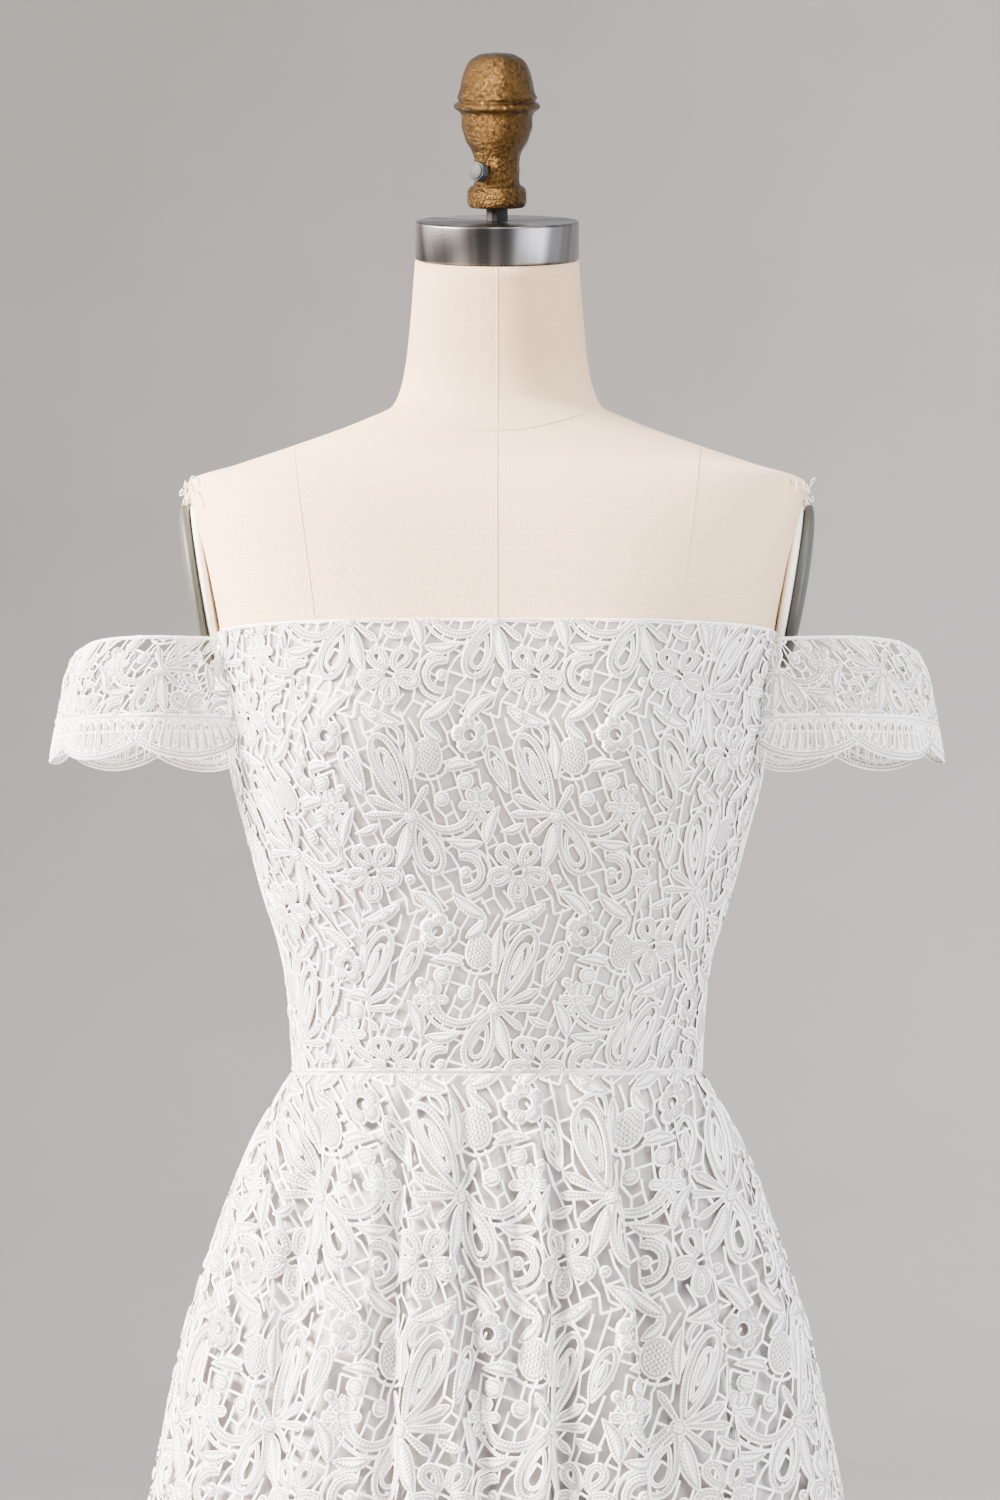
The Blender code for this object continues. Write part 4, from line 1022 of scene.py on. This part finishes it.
def lace_look(name, painted_valley_shade, thread, painted_gap_shade):
    """Stitched cotton: cords and veins catch the light, satin stitches between them are ribbed, and painted
    shade darkens the valleys between stitches, the grooves and the net's gaps.
    """
    look, shader = material(name, 0.62, Sheen_Weight=0.25, Sheen_Roughness=0.4)
    attributes = [add(look, "Attribute", attribute_name=key) for key in STITCHES]
    edge, vein, along, kind = (attribute.outputs["Fac"] for attribute in attributes)

    def ramp(value, start, end, first, last):
        return add(look, "MapRange", {1: start, 2: end, 3: first, 4: last}, {0: value}).outputs[0]

    cord = maths(look, "MAXIMUM", ramp(edge, 0.8, 1.2, 1.0, 0.0), ramp(vein, 0.45, 0.95, 1.0, 0.0))
    # The groove inside each cord: a low line in the bump, whose colour is darkened as a painted shadow
    groove_and_shadow = maths(look, "MULTIPLY", ramp(edge, 0.9, 1.25, 0.0, 1.0), ramp(edge, 1.6, 2.3, 1.0, 0.0))
    # Satin stitches 0.5 mm wide are drawn 2 mm apart, the least that shows at this distance
    rib = maths(look, "SINE", maths(look, "MULTIPLY", along, 2 * math.pi / STITCH_PITCH))
    rib = maths(look, "MULTIPLY_ADD", rib, 0.5, 0.5)
    # Net filling: crossed threads, with the gaps between them painted in a dark grey as painted shade
    crossings = []
    for sign in ("ADD", "SUBTRACT"):
        step = maths(look, "FRACT", maths(look, "DIVIDE", maths(look, sign, along, vein), NET_PITCH))
        crossings.append(maths(look, "ABSOLUTE", maths(look, "SUBTRACT", step, 0.5)))
    open_net = maths(look, "LESS_THAN", maths(look, "MAXIMUM", *crossings), 0.33)
    open_net = maths(look, "MULTIPLY", open_net, maths(look, "GREATER_THAN", edge, 2.3))
    open_net = maths(look, "MULTIPLY", open_net, kind)
    flat_part = maths(look, "SUBTRACT", 1.0, cord)
    ribbed = maths(look, "MULTIPLY", flat_part, maths(look, "SUBTRACT", 1.0, rib))
    # Painted shade: the valleys between satin stitches, and the flat parts a little, are darkened towards
    # the valley shade colour
    tone = blended(look, maths(look, "MULTIPLY", ribbed, 0.9), thread, painted_valley_shade)
    tone = blended(look, maths(look, "MULTIPLY", flat_part, 0.15), tone, painted_valley_shade)
    tone = blended(look, maths(look, "MULTIPLY", groove_and_shadow, 0.7), tone, painted_gap_shade)
    tone = blended(look, open_net, tone, painted_gap_shade)
    fuzz = noise(look, 1500, 2, 0.6)
    height = maths(look, "ADD", maths(look, "MULTIPLY", cord, 0.9), maths(look, "MULTIPLY", rib, 0.6))
    height = maths(look, "SUBTRACT", height, maths(look, "MULTIPLY", open_net, 0.9))
    height = maths(look, "SUBTRACT", height, maths(look, "MULTIPLY", groove_and_shadow, 0.6))
    height = maths(look, "MULTIPLY_ADD", fuzz, 0.15, height)
    finish(look, shader, tone, height, 0.7, 0.0009)
    return look


# White mercerised cotton, near shadowless on its cords; the rosy grey between its stitches is painted
# shade, and a darker grey is painted shade in its grooves and the gaps of its net
LACE = lace_look("white_corded_lace", "#BDB7B5", "#FEFCFA", "#8F8887")

# Where the pattern starts on each panel, and how far each panel stops from its seam in radians
PANEL_SHIFTS = {
    "centre_front": (46, 20), "side_front_right": (10, 62), "side_back_right": (70, 15),
    "centre_back_right": (33, 80), "side_front_left": (58, 40), "side_back_left": (22, 95),
    "centre_back_left": (5, 55),
}
BODICE_EDGE, SKIRT_EDGE = 0.0012, 0.003
rises = np.concatenate([[0.0004], np.linspace(0.008, NECKLINE_RISE - 0.001, 28)])
for name, start, end in BODICE_PANELS:
    panel, arcs = lay_lace(
        "lace_" + name, body_point,
        lambda rise: start(rise) + BODICE_EDGE, lambda rise: end(rise) - BODICE_EDGE, rises,
        lambda rise: (start(rise) + end(rise)) / 2, PANEL_SHIFTS[name], DRESS_OUT, bodice_top,
    )
    wide, long, area = flat_size(arcs, rises)
    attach(panel, "root")
    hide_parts("bodice_" + name)


def half_of(whole, name, side):
    """A copy of a lace piece with only its faces on one side of the middle: -1 the left, 1 the right."""
    part = whole.copy()
    part.data = whole.data.copy()
    part.name = name
    bpy.context.scene.collection.objects.link(part)
    flat = bmesh.new()
    flat.from_mesh(part.data)
    away = [face for face in flat.faces if (face.calc_center_median().x > 0) != (side > 0)]
    bmesh.ops.delete(flat, geom=away, context="FACES")
    flat.to_mesh(part.data)
    flat.free()
    return part


# The skirt has the larger flowers: its pattern is drawn a fifth larger than the bodice's. The front
# is one cut of cloth, kept here as two meshes that meet at its middle.
SKIRT_SLOPE, SKIRT_PATTERN = 1.03, 1.2
rises = -np.concatenate([[0.0008, 0.012], np.linspace(0.030, HEM_DROP - 0.001, 64)])[::-1]
for name, start, end in SKIRT_PANELS:
    panel, arcs = lay_lace(
        "lace_skirt_" + name, skirt_point,
        lambda rise: start + SKIRT_EDGE, lambda rise: end - SKIRT_EDGE, rises,
        lambda rise: (start + end) / 2, (20 if name == "front" else 61, 7), 0.0,
        slope=SKIRT_SLOPE, samples=500, size=SKIRT_PATTERN,
    )
    wide, long, area = flat_size(arcs, rises, SKIRT_SLOPE)
    halves = [panel]
    if name == "front":
        halves = [half_of(panel, "lace_skirt_front_left", -1), half_of(panel, "lace_skirt_front_right", 1)]
        bpy.data.objects.remove(panel)
    for half in halves:
        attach(half, "root")
        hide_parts("skirt_" + name)

# Joining seams: the panels' raw edges are overcast with one line of white cord, low between them
OVERCAST = 0.0009, 0.0006, DRESS_OUT - 0.0009
seams = []
rise = np.linspace(0.001, NECKLINE_RISE - 0.002, 60)
for seam in (princess_front, princess_back, side_seam):
    for side in (1, -1):
        angle = side * seam(rise)
        rise_here = np.minimum(rise, bodice_top(angle) - 0.001)
        kept = np.concatenate([[True], np.diff(rise_here) > 1e-5])
        seams.append(ribbon(body_point, angle[kept], rise_here[kept], *OVERCAST))
seams.append(ribbon(body_point, 0 * rise + math.pi, rise, *OVERCAST))
# The waist has a cord over a flat tape
angle = np.linspace(-math.pi, math.pi, 260)
seams.append(ribbon(body_point, angle, 0 * angle + 0.0008, 0.0009, 0.0007, DRESS_OUT - 0.0007))
seams.append(ribbon(body_point, angle, 0 * angle - 0.0004, 0.0024, 0.0002, DRESS_OUT - 0.0013))
rise = -np.linspace(0.004, HEM_DROP - 0.002, 200)
for degrees in (-90, 90, 180):
    seams.append(ribbon(skirt_point, 0 * rise + math.radians(degrees), rise, 0.0009, 0.0006, -0.0009))
angle = np.linspace(-math.pi, math.pi, 700)
seams.append(ribbon(skirt_point, angle, 0 * angle - HEM_DROP + 0.0018, 0.0016, 0.0010, -0.0007))
cords = joined("overcast_seams", seams, PIPING)
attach(cords, "root")

# Sleeves
# Off-shoulder bands: each an open ring of the same lace from the bodice's front to its back, unlined,
# with a ribbed edging of satin-stitched petals and scallops sewn to its lower edge.
SLEEVE_X, SLEEVE_HALF_WIDE, SLEEVE_FLARE, SLEEVE_HALF_DEEP = 0.200, 0.0565, 0.009, 0.061
SLEEVE_TOP, SLEEVE_ROLL_RISE, TRIM_TOP, TRIM_NOTCH = 0.257, 0.234, 0.2095, 0.194
SLEEVE_SAG, SLEEVE_RIPPLE, SLEEVE_ROLL = 0.0065, 0.0012, 0.0045
SCALLOP_DEEP, SCALLOPS = 0.0105, 5
SLEEVE_CLEAR = 0.0009
# The bands are cut where the lace's flowers are smaller and closer
SLEEVE_PATTERN = 0.78
OUTERMOST = math.pi / 2


def sleeve_point(turn, rise):
    """A point of the right sleeve band's middle face. The turn is 0 at the front, 90 outermost."""
    flare = SLEEVE_FLARE * (SLEEVE_TOP - rise) / (SLEEVE_TOP - TRIM_NOTCH)
    across = SLEEVE_X + (SLEEVE_HALF_WIDE + flare) * np.sin(turn)
    along = -(SLEEVE_HALF_DEEP + 0.4 * flare) * np.cos(turn)
    # The cloth sags a little at its outer end, ripples, and rolls in at its upper edge
    outer = np.clip(np.sin(turn), 0, 1) ** 4
    level = (rise - TRIM_NOTCH) / (SLEEVE_TOP - TRIM_NOTCH)
    ripple = SLEEVE_RIPPLE * np.sin(9 * turn + 1.1) * (1 - 0.5 * level)
    roll = SLEEVE_ROLL * np.clip((rise - SLEEVE_ROLL_RISE) / (SLEEVE_TOP - SLEEVE_ROLL_RISE), 0, 1) ** 2
    across = across + (ripple - roll) * np.sin(turn)
    along = along - (ripple - roll) * np.cos(turn)
    return np.stack([across, along, WAIST_Z + rise - SLEEVE_SAG * outer * level + 0 * turn], -1)


def armhole_turn(rise, back):
    """The turn at which the band's middle face just clears the bodice's outer face."""
    low, high = math.radians(-80.0), math.radians(20.0)
    for _ in range(30):
        middle = (low + high) / 2
        turn = math.pi - middle if back else middle
        point = sleeve_point(np.array(turn), np.array(rise))
        angle = math.atan2(point[0], -point[1])
        outer = outward(body_point, np.array(angle), np.array(min(rise, NECKLINE_RISE)), DRESS_OUT)
        if math.hypot(point[0], point[1]) - math.hypot(outer[0], outer[1]) > SLEEVE_CLEAR:
            high = middle
        else:
            low = middle
    return math.pi - high if back else high


# The edging's flat pattern in millimetres: one scallop of ribbed crescents over a fan of fingers
TRIM_LOW, TRIM_HIGH = armhole_turn(TRIM_NOTCH, False), armhole_turn(TRIM_NOTCH, True)
notch_line = sleeve_point(np.linspace(TRIM_LOW, TRIM_HIGH, 200), np.full(200, TRIM_NOTCH))
SCALLOP_WIDE = float(arc_lengths(notch_line)[-1]) * 1000 / SCALLOPS
SEAM_LINE, NOTCH_LINE = TRIM_TOP * 1000, TRIM_NOTCH * 1000
FINGERS, CROWNS, BARS = 11, 7, 15


def scallop_foot(share):
    """The height of the scallop's lower edge at a share of its width."""
    return NOTCH_LINE - SCALLOP_DEEP * 1000 * np.sin(math.pi * share) ** 0.7


scallop = Flat()
t = np.linspace(0.0, 1.0, 19)
scallop.strip(np.stack([SCALLOP_WIDE * t, scallop_foot(t) + 2.6], 1), 2.6, 0.1)
inner = scallop_foot(t) + 8.0 - 1.5 * np.sin(math.pi * t)
scallop.strip(np.stack([SCALLOP_WIDE * (0.06 + 0.88 * t), inner], 1), 1.0, 0.0)
for k in range(FINGERS):
    share = (k + 0.5) / FINGERS
    start = (SCALLOP_WIDE * (0.5 + (share - 0.5) * 0.8), SEAM_LINE - 3.0)
    scallop.taper(start, (SCALLOP_WIDE * share, scallop_foot(share) + 3.5), 2.0, 4.6, 0.2)
for k in range(CROWNS):
    scallop.arc((SCALLOP_WIDE * (k + 0.5) / CROWNS, SEAM_LINE - 6.0), 3.4, 0, 180, 1.8, 1.8, 0.3, 8)
for k in range(BARS):
    x = SCALLOP_WIDE * k / (BARS - 1)
    scallop.bride((x, SEAM_LINE - 1), (x + 1.5 * math.sin(2.3 * k), NOTCH_LINE - 2), 1.0)
for high, half_wide in ((-1.2, 1.2), (-9.5, 0.7)):
    line = np.stack([SCALLOP_WIDE * np.linspace(0, 1, 9), np.full(9, SEAM_LINE + high)], 1)
    scallop.strip(line, half_wide, 0.35)
SCALLOP, SCALLOP_FACES = scallop.arrays()


def lay_edging(name, half, mirror):
    """Repeats the scallop along half of a band and lays it on the band's form."""
    low, high = (TRIM_LOW, OUTERMOST - 0.002) if half == "front" else (OUTERMOST + 0.002, TRIM_HIGH)
    turns = np.linspace(TRIM_LOW, TRIM_HIGH, 400)
    arc = arc_lengths(sleeve_point(turns, np.full(400, TRIM_NOTCH))) * 1000
    count = len(SCALLOP["x"])
    xs = np.concatenate([SCALLOP["x"] + k * SCALLOP_WIDE for k in range(SCALLOPS)])
    faces = np.concatenate([SCALLOP_FACES + k * count for k in range(SCALLOPS)])
    turn = np.interp(xs, arc, turns)
    used, kept = kept_of(faces, (turn > low) & (turn < high))
    data = {key: values[used % count] for key, values in SCALLOP.items()}
    rise = data["y"] / 1000
    # Above the notches the band's end moves with the armhole
    ends = [armhole_turn(level, half == "back") for level in (TRIM_NOTCH, TRIM_TOP)]
    limit = np.interp(rise, (TRIM_NOTCH, TRIM_TOP), ends)
    turn = np.clip(turn[used], low, high)
    turn = np.maximum(turn, limit) if half == "front" else np.minimum(turn, limit)
    points = outward(sleeve_point, turn, rise, LACE_WALL / 2 + data["high"] / 1000)
    return lace_piece(name, points, kept, data, mirror)


SLEEVE_EDGE = 0.003
EDGING_MEAN_HIGH, EDGING_HIGH = 0.023, 0.026
SLEEVE_SHIFTS = {"right": 64, "left": 30, "front": 70, "back": 30}
band_rises = np.linspace(TRIM_TOP + 0.0004, SLEEVE_TOP, 8)
for half in ("front", "back"):
    at_bodice = [armhole_turn(rise, half == "back") for rise in band_rises]
    outlines = [lambda rise: np.interp(rise, band_rises, at_bodice), lambda rise: OUTERMOST - SLEEVE_EDGE]
    if half == "back":
        outlines = [lambda rise: OUTERMOST + SLEEVE_EDGE, outlines[0]]
    for where in ("right", "left"):
        mirror = where == "left"
        band, arcs = lay_lace(
            f"lace_sleeve_{where}_{half}", sleeve_point, *outlines, band_rises, lambda rise: OUTERMOST,
            (SLEEVE_SHIFTS[where], SLEEVE_SHIFTS[half]), LACE_WALL / 2, mirror=mirror, size=SLEEVE_PATTERN,
        )
        wide, long, area = flat_size(arcs, band_rises)
        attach(band, "root")
        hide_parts(f"sleeve_{where}_{half}")
        edging = lay_edging(f"scalloped_edging_{where}_{half}", half, mirror)
        area = area_of(edging)
        wide = area / EDGING_MEAN_HIGH
        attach(edging, "root")
        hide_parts(f"edging_{where}_{half}")

# A cord along the upper edge of each band, and one along the edging's seam
turn = np.linspace(armhole_turn(SLEEVE_TOP - 0.001, False), armhole_turn(SLEEVE_TOP - 0.001, True), 90)
top = ribbon(sleeve_point, turn, 0 * turn + SLEEVE_TOP - 0.0011, 0.0011, 0.0007, LACE_WALL / 2 - 0.0004)
turn = turn[2:-2]
under = ribbon(sleeve_point, turn, 0 * turn + TRIM_TOP + 0.0004, 0.0010, 0.0006, LACE_WALL / 2 - 0.0002)
for side, where in ((1, "right"), (-1, "left")):
    sided = np.array((side, 1.0, 1.0))
    parts = [(points * sided, [face[::side] for face in faces]) for points, faces in (top, under)]
    cords = joined("sleeve_cords_" + where, parts, PIPING)
    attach(cords, "root")

# Closing
# Nine small domed buttons covered in pale satin down the centre back, each in a loop of cord.
GRAIN = 1800, 2, 0.6, (1, 1, 0.3)
BUTTON_SATIN = two_tone(
    "button_satin", 0.4, ("#E2DDDA", "#F4F0ED"), GRAIN, GRAIN, (0.2, 0.0003), Sheen_Weight=0.2
)
BUTTON_RADIUS, BUTTON_FLAT, PUCKERS = 0.0055, 0.6, 12
BUTTON_RISES = 0.016 + 0.230 * np.arange(9) / 8
back = np.array(math.pi - 1e-6)
for k, rise in enumerate(BUTTON_RISES):
    seat = outward(body_point, back, np.array(rise), np.array(DRESS_OUT))
    ahead = outward(body_point, back, np.array(rise), np.array(DRESS_OUT + 1.0)) - seat
    tilt = math.atan2(ahead[2], ahead[1])
    out = SEAM_GAP + BUTTON_RADIUS * BUTTON_FLAT
    bpy.ops.mesh.primitive_uv_sphere_add(segments=32, ring_count=18, radius=BUTTON_RADIUS)
    button = bpy.context.object
    button.name = f"covered_button_{k + 1}"
    button.scale = (1, 1, BUTTON_FLAT)
    bpy.ops.object.transform_apply()
    # Gathered cloth puckers round the underside of each dome
    for vertex in button.data.vertices:
        if vertex.co.z < -0.0008:
            around = math.atan2(vertex.co.y, vertex.co.x)
            pucker = 1 + 0.05 * math.sin(PUCKERS * around)
            vertex.co.x *= pucker
            vertex.co.y *= pucker
    button.location = tuple(seat + ahead * out)
    button.rotation_euler = (tilt - math.pi / 2, 0, 0)
    bpy.ops.object.transform_apply()
    bpy.ops.object.shade_smooth()
    button.data.materials.append(BUTTON_SATIN)
    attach(button, "root")
    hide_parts(f"button_{k + 1}")

# Loops: one turn of white cord round the foot of each button, its ends sewn under the right back's edge
loops = []
LOOP_REACH = BUTTON_RADIUS + 0.0009
turn = np.linspace(-2.5, 2.5, 40)
across = -LOOP_REACH * np.cos(turn) + 0.0035 * np.clip(np.abs(turn) - 1.9, 0, 1)
for rise in BUTTON_RISES:
    angle = math.pi + across / float(body_point(np.array(math.pi), np.array(rise))[1])
    up = rise + LOOP_REACH * np.sin(turn)
    loops.append(ribbon(body_point, angle, up, 0.0006, 0.0006, DRESS_OUT + 0.0002))
loops = joined("button_loops", loops, PIPING)
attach(loops, "root")

# Studio
# A pale round sweep of painted paper, one broad soft light from the left and weaker ones above and
# at the right.
BACKDROP, shader = material("painted_paper_sweep", 0.9)
place = add(BACKDROP, "TexCoord").outputs["Object"]
parts = add(BACKDROP, "SeparateXYZ", links={0: place})
# Lighter to the right and towards the floor as painted light, a little cloudy, and greyer on the near floor
drift = maths(BACKDROP, "MULTIPLY_ADD", parts.outputs[0], 0.15, 0.45)
drift = maths(BACKDROP, "MULTIPLY_ADD", parts.outputs[2], -0.09, drift)
cloudy = maths(BACKDROP, "MULTIPLY_ADD", noise(BACKDROP, 0.9, 3, 0.6), 0.35, drift)
reach = add(BACKDROP, "VectorMath", links={0: place}, operation="LENGTH").outputs["Value"]
near = add(BACKDROP, "MapRange", {1: 2.0, 2: 9.0, 3: 1.0, 4: 0.0}, {0: reach}).outputs[0]
tone = blended(BACKDROP, near, blended(BACKDROP, cloudy, "#C7C3BE", "#F4F1EE"), "#A7A39F")
finish(BACKDROP, shader, tone, noise(BACKDROP, 40, 2), 0.05)
SWEEP_START, SWEEP_RADIUS, WALL_TOP, SWEEP_SIDES = 10.5, 6.0, 7.5, 128
turn = np.linspace(0, math.pi / 2, 25)
along = SWEEP_START + SWEEP_RADIUS * np.sin(turn)
along = np.concatenate([[0.01], along, [SWEEP_START + SWEEP_RADIUS]])[:, None]
high = np.concatenate([[0.0], SWEEP_RADIUS * (1 - np.cos(turn)), [WALL_TOP]])[:, None]
about = np.linspace(0, 2 * math.pi, SWEEP_SIDES, endpoint=False)[None, :]
points = np.stack([along * np.cos(about), -along * np.sin(about), high + 0 * about], -1).reshape(-1, 3)
sweep = object_of("studio_sweep", points, grid_faces(len(along), SWEEP_SIDES, closed=True), BACKDROP)


def soft_light(name, location, aim, size, power, colour):
    """A square soft light turned to a point."""
    data = bpy.data.lights.new(name, "AREA")
    data.shape, data.size, data.energy = "SQUARE", size, power
    data.color = linear(colour)[:3]
    lamp = bpy.data.objects.new(name, data)
    bpy.context.scene.collection.objects.link(lamp)
    lamp.location = location
    dx, dy, dz = (aim[k] - location[k] for k in range(3))
    lamp.rotation_euler = (math.atan2(math.hypot(dx, dy), -dz), 0, math.atan2(-dx, dy))


soft_light("window_left", (-3.6, -0.7, 2.8), (0, 0, 1.1), 1.3, 2000, "#FFF4E8")
soft_light("overhead", (0.1, -1.7, 3.9), (0, 0, 1.2), 1.8, 190, "#FFFDFA")
soft_light("fill_right", (3.2, -2.0, 1.4), (0, 0, 0.9), 2.4, 300, "#F2F5FF")
world = bpy.data.worlds.new("studio_air")
bpy.context.scene.world = world
world.use_nodes = True
world.node_tree.nodes["Background"].inputs["Color"].default_value = linear("#E8E8EA")
world.node_tree.nodes["Background"].inputs["Strength"].default_value = 0.95

camera_data = bpy.data.cameras.new("photo_camera")
camera_data.lens, camera_data.sensor_width = 120, 36
camera_data.dof.use_dof = False
camera = bpy.data.objects.new("photo_camera", camera_data)
bpy.context.scene.collection.objects.link(camera)
camera.location = (0.0018, -3.0, 1.06)
camera.rotation_euler = (math.pi / 2 + math.atan2(0.193, 3.0), 0, 0)
bpy.context.scene.camera = camera
